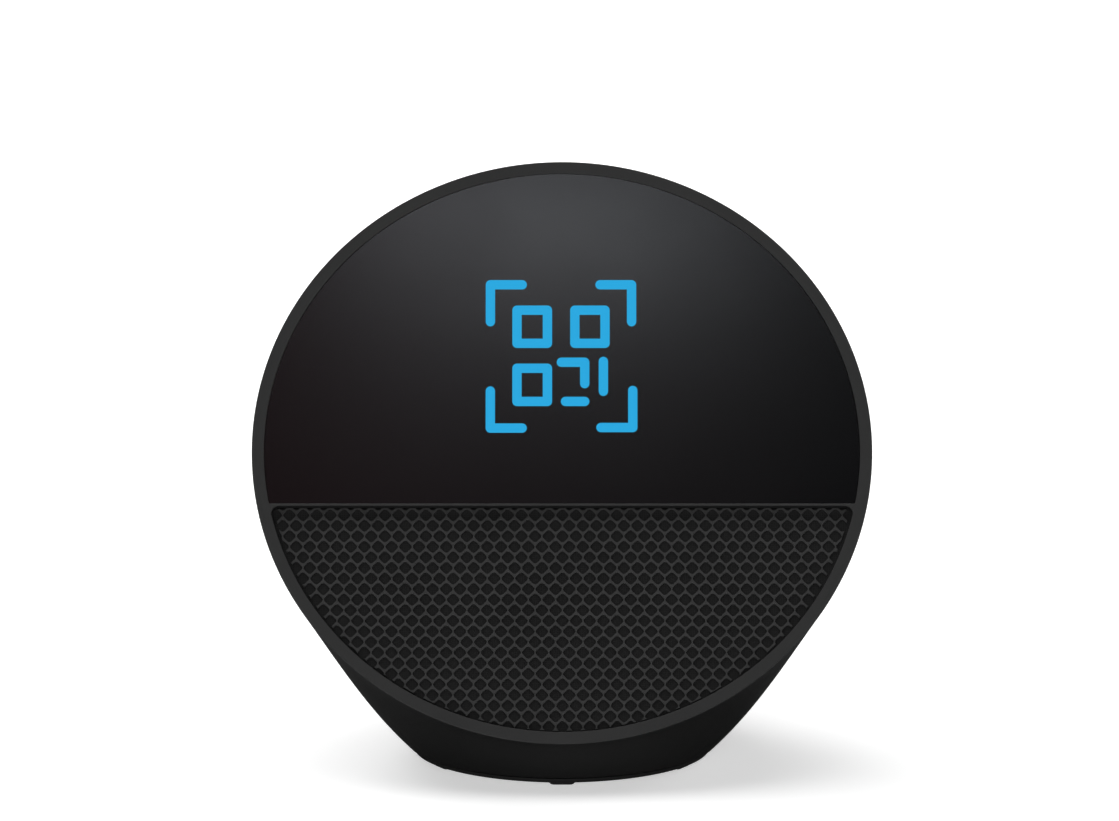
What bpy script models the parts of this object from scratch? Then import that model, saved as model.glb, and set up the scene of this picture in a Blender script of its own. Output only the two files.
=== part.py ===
"""Smart speaker with a round tilted face: a display in its upper part and a speaker grille below.

Units are metres, +Z is up, the face looks towards -Y. The origin is on the resting surface, under the
middle of the whole object's box. The body is swept by a fan of round sections that swing about one
line from the plane of the face down to the plane of the base.
"""

from math import asin, atan2, cos, pi, radians, sin, sqrt

import bmesh
import bpy
from mathutils import Matrix, Vector

MM = 0.001

# Driving dimensions of the body
FACE_R = 56.5 * MM  # outer radius of the round face
FACE_LEAN = radians(33.7)  # the face leans this far back from upright
BASE_R = 27.2 * MM  # radius of the body where it meets the base
BASE_Y = -12.28 * MM  # the base's centre, ahead of the middle of the object's box
SKIN_END_Z = 1.0 * MM  # height of the last round section
WALL = 2.0 * MM
GAP = 0.3 * MM  # room between pieces that touch
BODY_AROUND = 56  # corners round each section
BODY_SECTIONS = 11
RIM_CORNERS = 64  # corners round the face's rim and base
TURN_CORNERS = 32  # corners round smaller turned pieces

# The fan of sections: its line lies ahead of the base, this far from the face's lower edge
PIVOT_TO_FACE = 10.613 * MM
PIVOT_Y = BASE_Y - 40.109 * MM
FRONT_EASE = (0.327 * MM, -4.422 * MM)  # how the front line leaves the face and meets the base
BACK_EASE = (11.794 * MM, 32.724 * MM)  # the same for the back line
SIDE_EASE = (-0.1101, -0.1248)  # how much slimmer than round the middle sections are

# Layers of the face, measured back from the plane of its rim
RIM_INNER_R = 54.24 * MM
RIM_THICK = 0.6 * MM
RIM_ROUND = 0.2 * MM
SLEEVE_R = 54.9 * MM
SLEEVE_DEPTH = 3.3 * MM
REBATE_R = 55.2 * MM
BAR_TOP = -10.1 * MM  # bar between display and grille, along the face's own up direction
BAR_BOTTOM = -10.5 * MM
BAR_CORNER_R = 1.5 * MM
GLASS_R = 54.0 * MM
GLASS_FRONT = 0.15 * MM
GLASS_BACK = 1.25 * MM
GRILLE_R = 53.45 * MM
GRILLE_FRONT = 1.6 * MM
GRILLE_BACK = 2.2 * MM
GRILLE_CORNER_R = 1.2 * MM
CLOTH_FRONT = 2.5 * MM
CLOTH_BACK = 2.8 * MM
SEAT_OUTER_R = 53.1 * MM  # the two seats on the chassis that hold the glass and the grille
SEAT_INNER_R = 51.6 * MM
SEAT_CORNER_R = 0.6 * MM
GLASS_SEAT_FRONT = 1.85 * MM
CHASSIS_FRONT = 5.0 * MM
CHASSIS_BACK = 7.0 * MM
CHASSIS_R = 52.4 * MM

# Display module
PANEL_WIDE = 59.8 * MM
PANEL_TALL = 46.0 * MM
PANEL_UP = 16.7 * MM
PANEL_FRONT = 1.5 * MM
PANEL_BACK = 3.3 * MM
TRAY_FRONT = 2.0 * MM
TRAY_BACK = 4.7 * MM
TRAY_WALL = 1.0 * MM
FLEX_UP = -2.0 * MM  # the strip to the board passes the chassis at this height
FLEX_WIDE = 10.0 * MM

# Loudspeaker, centred below the face's centre
DRIVER_UP = -30.0 * MM
FLANGE_R = 21.0 * MM
EAR_REACH = 22.8 * MM
EAR_R = 2.6 * MM
FLANGE_FRONT = 7.9 * MM
FLANGE_BACK = 9.1 * MM
BASKET_BACK = 16.0 * MM
SCREW_BORE_R = 1.1 * MM
WINDOW_R = 19.2 * MM
CONE_R = 15.3 * MM
SURROUND_R = 18.6 * MM
COIL_R = 5.3 * MM
MAGNET_R = 14.0 * MM
POLE_R = 4.5 * MM
POLE_PLATE_R = 13.5 * MM

# Main board
BOARD_WIDE = 70.0 * MM
BOARD_TALL = 42.0 * MM
BOARD_UP = 16.0 * MM
BOARD_FRONT = 12.0 * MM
BOARD_BACK = 13.2 * MM
BOARD_SCREW_X = 31.0 * MM
BOARD_SCREW_RISE = 17.0 * MM
BOARD_REAR = BOARD_BACK + 0.2 * MM  # where the parts on its rear side stand
SOCKET_X = 4.0 * MM  # the power wires' socket on the board

# Buttons on the crest of the body
BUTTON_TURN = 0.135  # place along the fan: 0 is the face, 1 the base
BUTTON_SPREAD = radians(14.0)  # between neighbouring buttons, about their common centre
MIC_SPREAD = radians(24.5)
BUTTON_R = 4.4 * MM
BUTTON_DEEP = 4.5 * MM  # the stem's end below the body's surface
SWITCH_TOP = 5.0 * MM  # the switch's plunger, just below the stem
SWITCH_MIDDLE = 6.2 * MM
SWITCH_TALL = 1.4 * MM
MIC_PORT_R = 0.7 * MM

# Power inlet, low on the back
JACK_TURN = 0.70
JACK_R = 5.3 * MM
JACK_BORE_R = 2.75 * MM
JACK_LIP = 1.2 * MM  # the inlet's front lies this far below the body's surface
JACK_FLANGE_R = 7.0 * MM
JACK_BORE_DEEP = 10.8 * MM
JACK_DEEP = 13.0 * MM

# Base
BODY_LOW_Z = 1.8 * MM
PLATE_R = 27.1 * MM
PLATE_LOW = 0.65 * MM
PLATE_LIP = 1.5 * MM  # top of the rim that shows below the housing
PLATE_HIGH = 4.5 * MM
PLUG_R = 23.5 * MM  # the part of the plate inside the housing
GROOVE_IN_R = 22.3 * MM
GROOVE_OUT_R = 26.0 * MM
GROOVE_TOP = 1.1 * MM
SHELF_LOW = 5.0 * MM
SHELF_HIGH = 7.0 * MM
SHELF_OPENING_R = 12.0 * MM
BASE_SCREW_COUNT = 3
BASE_SCREW_REACH = 17.0 * MM
BASE_SCREW_SEAT = 1.9 * MM
FOOT_COUNT = 6
FOOT_REACH = 24.35 * MM
FOOT_LONG = 2.8 * MM
FOOT_WIDE = 4.7 * MM
FOOT_TALL = 0.7 * MM

MATERIALS = {
    # name: (colour, roughness, metallic)
    "shell_plastic": ((0.0103, 0.0103, 0.0103), 0.55, 0.0),
    "rim_plastic": ((0.0331, 0.0331, 0.0331), 0.50, 0.0),
    "cover_glass": ((0.010, 0.009, 0.010), 0.06, 0.0),
    "grille_plastic": ((0.0331, 0.0331, 0.0331), 0.55, 0.0),
    "black_cloth": ((0.008, 0.008, 0.008), 0.95, 0.0),
    "black_plastic": ((0.015, 0.015, 0.016), 0.50, 0.0),
    "adhesive": ((0.02, 0.02, 0.02), 0.80, 0.0),
    "display": ((0.02, 0.03, 0.04), 0.15, 0.0),
    "steel": ((0.55, 0.56, 0.57), 0.35, 1.0),
    "aluminium": ((0.70, 0.71, 0.72), 0.35, 1.0),
    "zinc_steel": ((0.62, 0.62, 0.60), 0.30, 1.0),
    "ferrite": ((0.05, 0.05, 0.055), 0.70, 0.0),
    "copper": ((0.72, 0.36, 0.20), 0.35, 1.0),
    "paper": ((0.03, 0.03, 0.032), 0.85, 0.0),
    "rubber": ((0.012, 0.012, 0.012), 0.85, 0.0),
    "spider_cloth": ((0.50, 0.30, 0.10), 0.90, 0.0),
    "circuit_board": ((0.01, 0.08, 0.03), 0.45, 0.0),
    "flex_film": ((0.45, 0.20, 0.03), 0.40, 0.0),
    "thermal_pad": ((0.25, 0.30, 0.38), 0.90, 0.0),
    "red_wire": ((0.50, 0.01, 0.01), 0.50, 0.0),
    "black_wire": ((0.01, 0.01, 0.01), 0.50, 0.0),
}


def empty_scene():
    for item in list(bpy.data.objects):
        bpy.data.objects.remove(item, do_unlink=True)


def new_collection(name):
    collection = bpy.data.collections.new(name)
    bpy.context.scene.collection.children.link(collection)
    return collection


def make_material(name):
    colour, roughness, metallic = MATERIALS[name]
    material = bpy.data.materials.new(name)
    material.use_nodes = True
    shader = material.node_tree.nodes["Principled BSDF"]
    shader.inputs["Base Color"].default_value = (*colour, 1.0)
    shader.inputs["Roughness"].default_value = roughness
    shader.inputs["Metallic"].default_value = metallic
    material.diffuse_color = (*colour, 1.0)
    return material


empty_scene()
PARTS = new_collection("smart_speaker")
CUTTERS = new_collection("cutters")


# ---------------------------------------------------------------- placing

def add_frame(name, matrix, parent=None):
    """An empty that pieces are placed in. matrix is relative to its parent."""
    frame = bpy.data.objects.new(name, None)
    frame.empty_display_size = 0.01
    frame.parent = parent
    frame.matrix_basis = matrix
    PARTS.objects.link(frame)
    return frame


def axes_matrix(origin, right, up, out):
    matrix = Matrix.Identity(4)
    for column, axis in enumerate((right, up, out, origin)):
        for row in range(3):
            matrix[row][column] = axis[row]
    return matrix


def link_part(item, material, frame, location=(0, 0, 0)):
    item.data.materials.clear()
    item.data.materials.append(bpy.data.materials.get(material) or make_material(material))
    item.parent = frame
    item.location = location
    PARTS.objects.link(item)
    if item.type == "MESH" and len(item.data.polygons):
        item.data.shade_smooth()
        item.data.set_sharp_from_angle(angle=radians(30))
    return item


def as_tool(item, frame, location=(0, 0, 0)):
    """Makes an object a cutter or a joining shape, which isn't a part."""
    item.parent = frame
    item.location = location
    item.hide_render = True
    item.display_type = "WIRE"
    CUTTERS.objects.link(item)
    return item


def combine(target, tool, operation):
    boolean = target.modifiers.new(f"{operation.lower()}_{tool.name}", "BOOLEAN")
    boolean.operation = operation
    boolean.solver = "EXACT"
    boolean.object = tool


def cut(target, *tools):
    for tool in tools:
        combine(target, tool, "DIFFERENCE")


def join(target, *tools):
    for tool in tools:
        combine(target, tool, "UNION")


# ---------------------------------------------------------------- basic shapes

def mesh_object(name, shape):
    mesh = bpy.data.meshes.new(name)
    shape.to_mesh(mesh)
    shape.free()
    return bpy.data.objects.new(name, mesh)


def box(name, size, centre=(0, 0, 0), bevel=0.0):
    shape = bmesh.new()
    bmesh.ops.create_cube(shape, size=1.0, matrix=Matrix.Translation(centre) @ Matrix.Diagonal((*size, 1)))
    item = mesh_object(name, shape)
    if bevel:
        edge = item.modifiers.new("rounded_edges", "BEVEL")
        edge.width = bevel
        edge.segments = 2
    return item


def cylinder(name, radius, low, high, segments=32, x=0.0, y=0.0):
    shape = bmesh.new()
    bmesh.ops.create_cone(
        shape, cap_ends=True, segments=segments, radius1=radius, radius2=radius, depth=high - low,
        matrix=Matrix.Translation((x, y, (low + high) / 2)),
    )
    return mesh_object(name, shape)


def turned(name, profile, steps=TURN_CORNERS, closed=True):
    """A shape turned about local Z. The profile (radius, height) runs down its outer side."""
    shape = bmesh.new()
    corners = [shape.verts.new((radius, 0, height)) for radius, height in profile]
    for first, second in zip(corners, corners[1:]):
        shape.edges.new((first, second))
    if closed:
        shape.edges.new((corners[-1], corners[0]))
    item = mesh_object(name, shape)
    screw = item.modifiers.new("turned", "SCREW")
    screw.steps = steps
    screw.render_steps = steps
    screw.use_merge_vertices = True
    screw.merge_threshold = 0.00001
    return item


def ring(name, inner, outer, low, high, steps=TURN_CORNERS):
    return turned(name, [(inner, high), (outer, high), (outer, low), (inner, low)], steps)


def plate(name, outlines, low, high):
    """A flat plate between two heights. The outlines after the first are holes."""
    curve = bpy.data.curves.new(name, "CURVE")
    curve.dimensions = "2D"
    curve.fill_mode = "BOTH"
    curve.extrude = (high - low) / 2
    for outline in outlines:
        spline = curve.splines.new("POLY")
        spline.points.add(len(outline) - 1)
        for point, (x, y) in zip(spline.points, outline):
            point.co = (x, y, 0, 1)
        spline.use_cyclic_u = True
    return solid_from_curve(name, curve, Matrix.Translation((0, 0, (low + high) / 2)))


def solid_from_curve(name, curve, matrix=Matrix.Identity(4)):
    drawn = bpy.data.objects.new(f"{name}_outline", curve)
    bpy.context.scene.collection.objects.link(drawn)
    depsgraph = bpy.context.evaluated_depsgraph_get()
    mesh = bpy.data.meshes.new_from_object(drawn.evaluated_get(depsgraph))
    bpy.data.objects.remove(drawn, do_unlink=True)
    mesh.name = name
    mesh.transform(matrix)
    shape = bmesh.new()
    shape.from_mesh(mesh)
    bmesh.ops.remove_doubles(shape, verts=shape.verts, dist=0.000001)
    shape.to_mesh(mesh)
    shape.free()
    return bpy.data.objects.new(name, mesh)


def tube(name, route, radius):
    """A round wire along a smooth curve through the route's points."""
    curve = bpy.data.curves.new(name, "CURVE")
    curve.dimensions = "3D"
    curve.bevel_depth = radius
    curve.bevel_resolution = 2
    curve.use_fill_caps = True
    spline = curve.splines.new("POLY")
    points = smooth_route(route, 5 * radius)
    spline.points.add(len(points) - 1)
    for point, place in zip(spline.points, points):
        point.co = (*place, 1)
    return solid_from_curve(name, curve)


def smooth_route(route, spacing):
    """Points about spacing apart on a Catmull-Rom curve through the route."""
    route = [Vector(place) for place in route]
    ends = [2 * route[0] - route[1], *route, 2 * route[-1] - route[-2]]
    points = []
    for a, b, c, d in zip(ends, ends[1:], ends[2:], ends[3:]):
        count = max(2, round((c - b).length / spacing))
        for step in range(count):
            t = step / count
            points.append(
                0.5 * (2 * b + (c - a) * t + (2 * a - 5 * b + 4 * c - d) * t**2
                       + (3 * b - a - 3 * c + d) * t**3)
            )
    return [*points, route[-1]]


def ribbon(name, path, thick, low, high):
    """A flat strip whose edge follows a path in local X and Y, from low to high along local Z."""
    path = [Vector(place) for place in path]
    left, right = [], []
    for index, place in enumerate(path):
        ahead = path[min(index + 1, len(path) - 1)] - path[max(index - 1, 0)]
        side = Vector((-ahead.y, ahead.x)).normalized() * thick / 2
        left.append(place + side)
        right.append(place - side)
    return plate(name, [left + right[::-1]], low, high)


# ---------------------------------------------------------------- outlines

def arc(radius, start, end, count, x=0.0, y=0.0):
    angles = [start + (end - start) * step / count for step in range(count + 1)]
    return [(x + radius * cos(angle), y + radius * sin(angle)) for angle in angles]


def circle(radius, count=TURN_CORNERS, x=0.0, y=0.0):
    return arc(radius, 0, 2 * pi * (1 - 1 / count), count - 1, x, y)


def rounded_box(wide, tall, corner, x=0.0, y=0.0, count=3):
    outline = []
    for quarter in range(4):
        right = 1 if quarter in (0, 3) else -1
        top = 1 if quarter < 2 else -1
        centre_x = x + right * (wide / 2 - corner)
        centre_y = y + top * (tall / 2 - corner)
        outline += arc(corner, quarter * pi / 2, (quarter + 1) * pi / 2, count, centre_x, centre_y)
    return outline


def segment(radius, chord, corner, side, count=36):
    """Outline of the part of a disc above (side 1) or below (side -1) a chord, with round corners."""
    centre_y = chord + side * corner
    centre_x = sqrt((radius - corner) ** 2 - centre_y**2)
    rim_angle = atan2(side * centre_y, centre_x)
    outline = arc(corner, -pi / 2, rim_angle, 3, centre_x, side * centre_y)
    outline += arc(radius, rim_angle, pi - rim_angle, count)[1:-1]
    outline += arc(corner, pi - rim_angle, 3 * pi / 2, 3, -centre_x, side * centre_y)
    return [(x, side * y) for x, y in outline]


# ---------------------------------------------------------------- the body's surface

def ease(start, leave, arrive, end, t):
    """A cubic Bezier number: it leaves start by leave and arrives at end by arrive."""
    far = 1 - t
    return (start * far**3 + 3 * (start + leave) * t * far**2
            + 3 * (end + arrive) * t**2 * far + end * t**3)


def skin_point(turn, around):
    """Point on the body. turn is 0 at the face and 1 at the base; around is 0 at the back."""
    near = ease(PIVOT_TO_FACE, FRONT_EASE[0], FRONT_EASE[1], BASE_Y - BASE_R - PIVOT_Y, turn)
    far = ease(PIVOT_TO_FACE + 2 * FACE_R, BACK_EASE[0], BACK_EASE[1], BASE_Y + BASE_R - PIVOT_Y, turn)
    slim = 1 + 3 * SIDE_EASE[0] * turn * (1 - turn) ** 2 + 3 * SIDE_EASE[1] * turn**2 * (1 - turn)
    radius = (far - near) / 2
    reach = (far + near) / 2 + radius * cos(around)
    swing = (pi / 2 - FACE_LEAN) * (1 - turn)
    ahead, up = reach * cos(swing), reach * sin(swing)
    return Vector((radius * slim * sin(around), PIVOT_Y + ahead, SKIN_END_Z + up))


def skin_normal(turn, around):
    step = 0.001
    down = skin_point(turn + step, around) - skin_point(turn - step, around)
    across = skin_point(turn, around + step) - skin_point(turn, around - step)
    return across.cross(down).normalized()


def skin_outline(height, inset, count):
    """The body's outline in a level plane, moved in by inset."""
    outline = []
    for step in range(count):
        around = 2 * pi * step / count
        low, high = 0.4, 1.0
        for _ in range(30):
            middle = (low + high) / 2
            if skin_point(middle, around).z > height:
                low = middle
            else:
                high = middle
        place = skin_point(middle, around)
        inward = Vector((-place.x, BASE_Y - place.y)).normalized() * inset
        outline.append((place.x + inward.x, place.y + inward.y))
    return outline


def face_matrix():
    up = Vector((0, sin(FACE_LEAN), cos(FACE_LEAN)))
    out = Vector((0, -cos(FACE_LEAN), sin(FACE_LEAN)))
    centre = Vector((0, PIVOT_Y, SKIN_END_Z)) + (PIVOT_TO_FACE + FACE_R) * up
    return axes_matrix(centre, Vector((1, 0, 0)), up, out)


FACE = add_frame("face_frame", face_matrix())
DRIVER = add_frame("driver_frame", Matrix.Translation((0, DRIVER_UP, 0)), FACE)
BASE = add_frame("base_frame", Matrix.Translation((0, BASE_Y, 0)))


def skin_frame(name, turn):
    """A frame on the body's middle line with its Z pointing out of the surface."""
    out = skin_normal(turn, 0)
    right = Vector((1, 0, 0))
    return add_frame(name, axes_matrix(skin_point(turn, 0), right, out.cross(right), out))


JACK = skin_frame("jack_frame", JACK_TURN)


def crest_bend():
    """Radius to which the body bends from side to side at the buttons."""
    inward = skin_point(BUTTON_TURN, pi) - skin_point(BUTTON_TURN, 0)
    squareness = -inward.normalized().dot(skin_normal(BUTTON_TURN, 0))
    aside = skin_point(BUTTON_TURN, 0.05)
    across = skin_point(BUTTON_TURN, 0)
    sag = (across - aside).dot(-inward.normalized())
    return aside.x**2 / (2 * sag) / squareness


CREST_R = crest_bend()
CREST = skin_frame("crest_frame", BUTTON_TURN)
CREST_CENTRE = add_frame("crest_centre", Matrix.Translation((0, 0, -CREST_R)), CREST)


def crest_frame(name, angle):
    """A frame on the crest's surface, turned to the side by angle."""
    place = Matrix.Rotation(angle, 4, "Y") @ Matrix.Translation((0, 0, CREST_R))
    return add_frame(name, place, CREST_CENTRE)


BUTTON_FRAMES = {
    "volume_down": crest_frame("volume_down_frame", -BUTTON_SPREAD),
    "mic_mute": crest_frame("mic_mute_frame", 0.0),
    "volume_up": crest_frame("volume_up_frame", BUTTON_SPREAD),
}
MIC_FRAMES = {
    "left": crest_frame("mic_left_frame", -MIC_SPREAD),
    "right": crest_frame("mic_right_frame", MIC_SPREAD),
}


# ---------------------------------------------------------------- housing

def rear_housing():
    shape = bmesh.new()
    rows = []
    for section in range(BODY_SECTIONS + 1):
        turn = section / BODY_SECTIONS
        rows.append([
            shape.verts.new(skin_point(turn, 2 * pi * step / BODY_AROUND)) for step in range(BODY_AROUND)
        ])
    for upper, lower in zip(rows, rows[1:]):
        for step in range(BODY_AROUND):
            after = (step + 1) % BODY_AROUND
            shape.faces.new((upper[step], upper[after], lower[after], lower[step]))
    housing = mesh_object("rear_housing", shape)
    shell = housing.modifiers.new("wall", "SOLIDIFY")
    shell.thickness = WALL
    shell.offset = -1.0
    shell.use_even_offset = True
    link_part(housing, "shell_plastic", None)

    wide = 3 * FACE_R
    ahead = box("ahead_of_body", (wide, wide, wide), (0, 0, wide / 2 - RIM_THICK - GAP))
    below = box("below_body", (wide, wide, wide), (0, 0, BODY_LOW_Z - wide / 2))
    rebate = cylinder("bezel_rebate", REBATE_R, -SLEEVE_DEPTH - GAP, SLEEVE_DEPTH, RIM_CORNERS)
    cut(housing, as_tool(ahead, FACE), as_tool(below, BASE), as_tool(rebate, FACE))

    shelf_outline = skin_outline(SHELF_LOW, 0.6 * WALL, BODY_AROUND)
    shelf_opening = circle(SHELF_OPENING_R, 24, 0, BASE_Y)
    shelf = plate("shelf", [shelf_outline, shelf_opening], SHELF_LOW, SHELF_HIGH)
    join(housing, as_tool(shelf, None))
    pilot_r = 1.3 * MM
    for number in range(BASE_SCREW_COUNT):
        x, y = base_screw_place(number)
        pilot = cylinder(f"shelf_pilot_{number + 1}", pilot_r, SHELF_LOW - MM, SHELF_HIGH + MM, 10, x, y)
        cut(housing, as_tool(pilot, BASE))

    inlet = cylinder("inlet_hole", JACK_R + GAP, -3 * WALL, WALL, 28)
    cut(housing, as_tool(inlet, JACK))
    for name, frame in BUTTON_FRAMES.items():
        hole = cylinder(f"{name}_hole", BUTTON_R + GAP, -2 * WALL, WALL, 24)
        cut(housing, as_tool(hole, frame))
    for name, frame in MIC_FRAMES.items():
        port = cylinder(f"mic_{name}_port", MIC_PORT_R, -2 * WALL, WALL, 8)
        cut(housing, as_tool(port, frame))


def front_bezel():
    edge = RIM_ROUND
    profile = [
        (RIM_INNER_R + edge, 0), (FACE_R - edge, 0), (FACE_R, -edge), (FACE_R, -RIM_THICK),
        (SLEEVE_R, -RIM_THICK), (SLEEVE_R, -SLEEVE_DEPTH), (RIM_INNER_R, -SLEEVE_DEPTH),
        (RIM_INNER_R, -edge),
    ]
    bezel = link_part(turned("front_bezel", profile, RIM_CORNERS), "rim_plastic", FACE)

    join(bezel, as_tool(plate("chord_bar", [bar_outline()], -SLEEVE_DEPTH, 0), FACE))


def bar_outline():
    """The bar across the face. Below it the corners with the rim are rounded."""
    corner_y = BAR_BOTTOM - BAR_CORNER_R
    corner_x = sqrt((RIM_INNER_R - BAR_CORNER_R) ** 2 - corner_y**2)
    touch = asin(-corner_y / (RIM_INNER_R - BAR_CORNER_R))
    middle_r = (RIM_INNER_R + SLEEVE_R) / 2
    end_x = sqrt(middle_r**2 - BAR_TOP**2)
    right_side = [(end_x, BAR_TOP), (middle_r * cos(touch), -middle_r * sin(touch))]
    right_side += arc(BAR_CORNER_R, -touch, pi / 2, 4, corner_x, corner_y)
    left_side = [(-x, y) for x, y in reversed(right_side)]
    return right_side + left_side


def cover_glass():
    outline = segment(GLASS_R, BAR_TOP + GAP, 0.5 * MM, 1)
    glass = plate("cover_glass", [outline], -GLASS_BACK, -GLASS_FRONT)
    link_part(glass, "cover_glass", FACE)


def speaker_grille():
    grille_outline = segment(GRILLE_R, BAR_BOTTOM - GAP, GRILLE_CORNER_R, -1)
    grille = plate("speaker_grille", [grille_outline], -GRILLE_BACK, -GRILLE_FRONT)
    link_part(grille, "grille_plastic", FACE)
    cloth_outline = segment(GRILLE_R - GAP, BAR_BOTTOM - 2 * GAP, GRILLE_CORNER_R, -1)
    cloth = plate("grille_cloth", [cloth_outline], -CLOTH_BACK, -CLOTH_FRONT)
    link_part(cloth, "black_cloth", FACE)


def front_chassis():
    """Inner frame behind the face. It holds the glass, the display, the grille, the driver and the board."""
    window = circle(WINDOW_R, 28, 0, DRIVER_UP)
    flex_slot = rounded_box(14 * MM, 3 * MM, 1 * MM, 0, FLEX_UP)
    outlines = [circle(CHASSIS_R, 40), window, flex_slot]
    chassis = plate("front_chassis", outlines, -CHASSIS_BACK, -CHASSIS_FRONT)
    link_part(chassis, "black_plastic", FACE)

    overlap = 0.2 * MM
    wall = SEAT_OUTER_R - SEAT_INNER_R
    deep = CHASSIS_FRONT + overlap
    glass_start = BAR_TOP + 0.35 * MM
    glass_outlines = [segment(SEAT_OUTER_R, glass_start, SEAT_CORNER_R, 1, 24),
                      segment(SEAT_INNER_R, glass_start + wall, SEAT_CORNER_R, 1, 24)]
    glass_seat = plate("glass_seat", glass_outlines, -deep, -GLASS_SEAT_FRONT)
    grille_start = BAR_BOTTOM - GAP
    grille_outlines = [segment(SEAT_OUTER_R, grille_start, SEAT_CORNER_R, -1, 24),
                       segment(SEAT_INNER_R, grille_start - wall, SEAT_CORNER_R, -1, 24)]
    grille_seat = plate("grille_seat", grille_outlines, -deep, -CLOTH_BACK - GAP)
    join(chassis, as_tool(glass_seat, FACE), as_tool(grille_seat, FACE))

    boss_r = 2.6 * MM
    boss_front = -CHASSIS_BACK + overlap
    for number, (x, y) in enumerate(board_screw_places(), 1):
        boss = cylinder(f"board_boss_{number}", boss_r, -BOARD_FRONT + GAP, boss_front, 12, x, y)
        bore = cylinder(f"board_bore_{number}", SCREW_BORE_R, -BOARD_FRONT, -CHASSIS_BACK - MM, 8, x, y)
        join(chassis, as_tool(boss, FACE))
        cut(chassis, as_tool(bore, FACE))
    bore_front = -CHASSIS_BACK + 1.5 * MM
    for number, (x, y) in enumerate(driver_screw_places(), 1):
        bore = cylinder(f"driver_bore_{number}", SCREW_BORE_R, -CHASSIS_BACK - MM, bore_front, 8, x, y)
        cut(chassis, as_tool(bore, DRIVER))


# ---------------------------------------------------------------- display

def display():
    tape_start = BAR_TOP + 0.7 * MM
    tape_wide = 1.2 * MM
    tape_front = GLASS_BACK + 0.2 * MM
    tape_back = GLASS_SEAT_FRONT - 0.2 * MM
    outlines = [segment(SEAT_OUTER_R, tape_start, SEAT_CORNER_R, 1),
                segment(SEAT_OUTER_R - tape_wide, tape_start + tape_wide, SEAT_CORNER_R, 1)]
    link_part(plate("display_adhesive", outlines, -tape_back, -tape_front), "adhesive", FACE)

    panel = box("display_panel", (PANEL_WIDE, PANEL_TALL, PANEL_BACK - PANEL_FRONT),
                (0, PANEL_UP, -(PANEL_BACK + PANEL_FRONT) / 2))
    link_part(panel, "display", FACE)

    tray_size = (PANEL_WIDE + 2 * TRAY_WALL, PANEL_TALL + 2 * TRAY_WALL, TRAY_BACK - TRAY_FRONT)
    tray = box("display_tray", tray_size, (0, PANEL_UP, -(TRAY_BACK + TRAY_FRONT) / 2))
    hollow = box("tray_hollow", (PANEL_WIDE + 2 * GAP, PANEL_TALL + 2 * GAP, PANEL_BACK),
                 (0, PANEL_UP, -PANEL_BACK / 2 - GAP))
    link_part(tray, "steel", FACE)
    cut(tray, as_tool(hollow, FACE))

    # The strip runs back through the chassis; its own X is the face's up, its Y points into the body
    side = add_frame("flex_frame", axes_matrix((0, 0, 0), (0, 1, 0), (0, 0, -1), (-1, 0, 0)), FACE)
    connector_up = -0.8 * MM
    connector_tall = 1.4 * MM
    path = [(FLEX_UP, TRAY_BACK + 0.25 * MM), (FLEX_UP, 7.4 * MM), (-1.7 * MM, 8.4 * MM),
            (-1.1 * MM, 9.2 * MM), (connector_up, 10.0 * MM)]
    strip = ribbon("display_flex", path, 0.2 * MM, -FLEX_WIDE / 2, FLEX_WIDE / 2)
    link_part(strip, "flex_film", side)
    connector = box("display_connector", (13 * MM, 4 * MM, connector_tall),
                    (0, connector_up, -BOARD_FRONT + GAP + connector_tall / 2))
    link_part(connector, "black_plastic", FACE)


# ---------------------------------------------------------------- loudspeaker

def driver_screw_places():
    reach = EAR_REACH * cos(pi / 4)
    return [(reach, reach), (-reach, reach), (-reach, -reach), (reach, -reach)]


def eared_outline():
    """A round flange with four ears for its screws."""
    outline = []
    for step in range(56):
        angle = 2 * pi * step / 56
        off_ear = (angle % (pi / 2)) - pi / 4
        across = EAR_REACH * sin(off_ear)
        reach = FLANGE_R
        if abs(across) < EAR_R:
            reach = max(reach, EAR_REACH * cos(off_ear) + sqrt(EAR_R**2 - across**2))
        outline.append((reach * cos(angle), reach * sin(angle)))
    return outline


def driver_basket():
    holes = [circle(SCREW_BORE_R, 8, x, y) for x, y in driver_screw_places()]
    seat_r = CONE_R + 2.2 * MM
    basket = plate("driver_basket", [eared_outline(), circle(seat_r), *holes], -FLANGE_BACK, -FLANGE_FRONT)
    link_part(basket, "zinc_steel", DRIVER)
    cup_top = -FLANGE_FRONT - 0.1 * MM
    cup_floor = -BASKET_BACK + 1.0 * MM
    cup_hole_r = COIL_R + 1.0 * MM
    profile = [
        (seat_r - 0.2 * MM, cup_top), (seat_r + 1.2 * MM, cup_top), (MAGNET_R + 0.3 * MM, -BASKET_BACK),
        (cup_hole_r, -BASKET_BACK), (cup_hole_r, cup_floor), (MAGNET_R - 0.6 * MM, cup_floor),
        (seat_r - 0.2 * MM, -FLANGE_BACK),
    ]
    join(basket, as_tool(turned("basket_cup", profile), DRIVER))
    window_size = (9 * MM, 10 * MM, 3.2 * MM)
    window_place = (16 * MM, 0, -12.6 * MM)
    for number in range(4):
        turn = Matrix.Rotation(number * pi / 2, 4, "Z")
        frame = add_frame(f"basket_window_frame_{number + 1}", turn, DRIVER)
        window = box(f"basket_window_{number + 1}", window_size, window_place)
        cut(basket, as_tool(window, frame))


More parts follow.
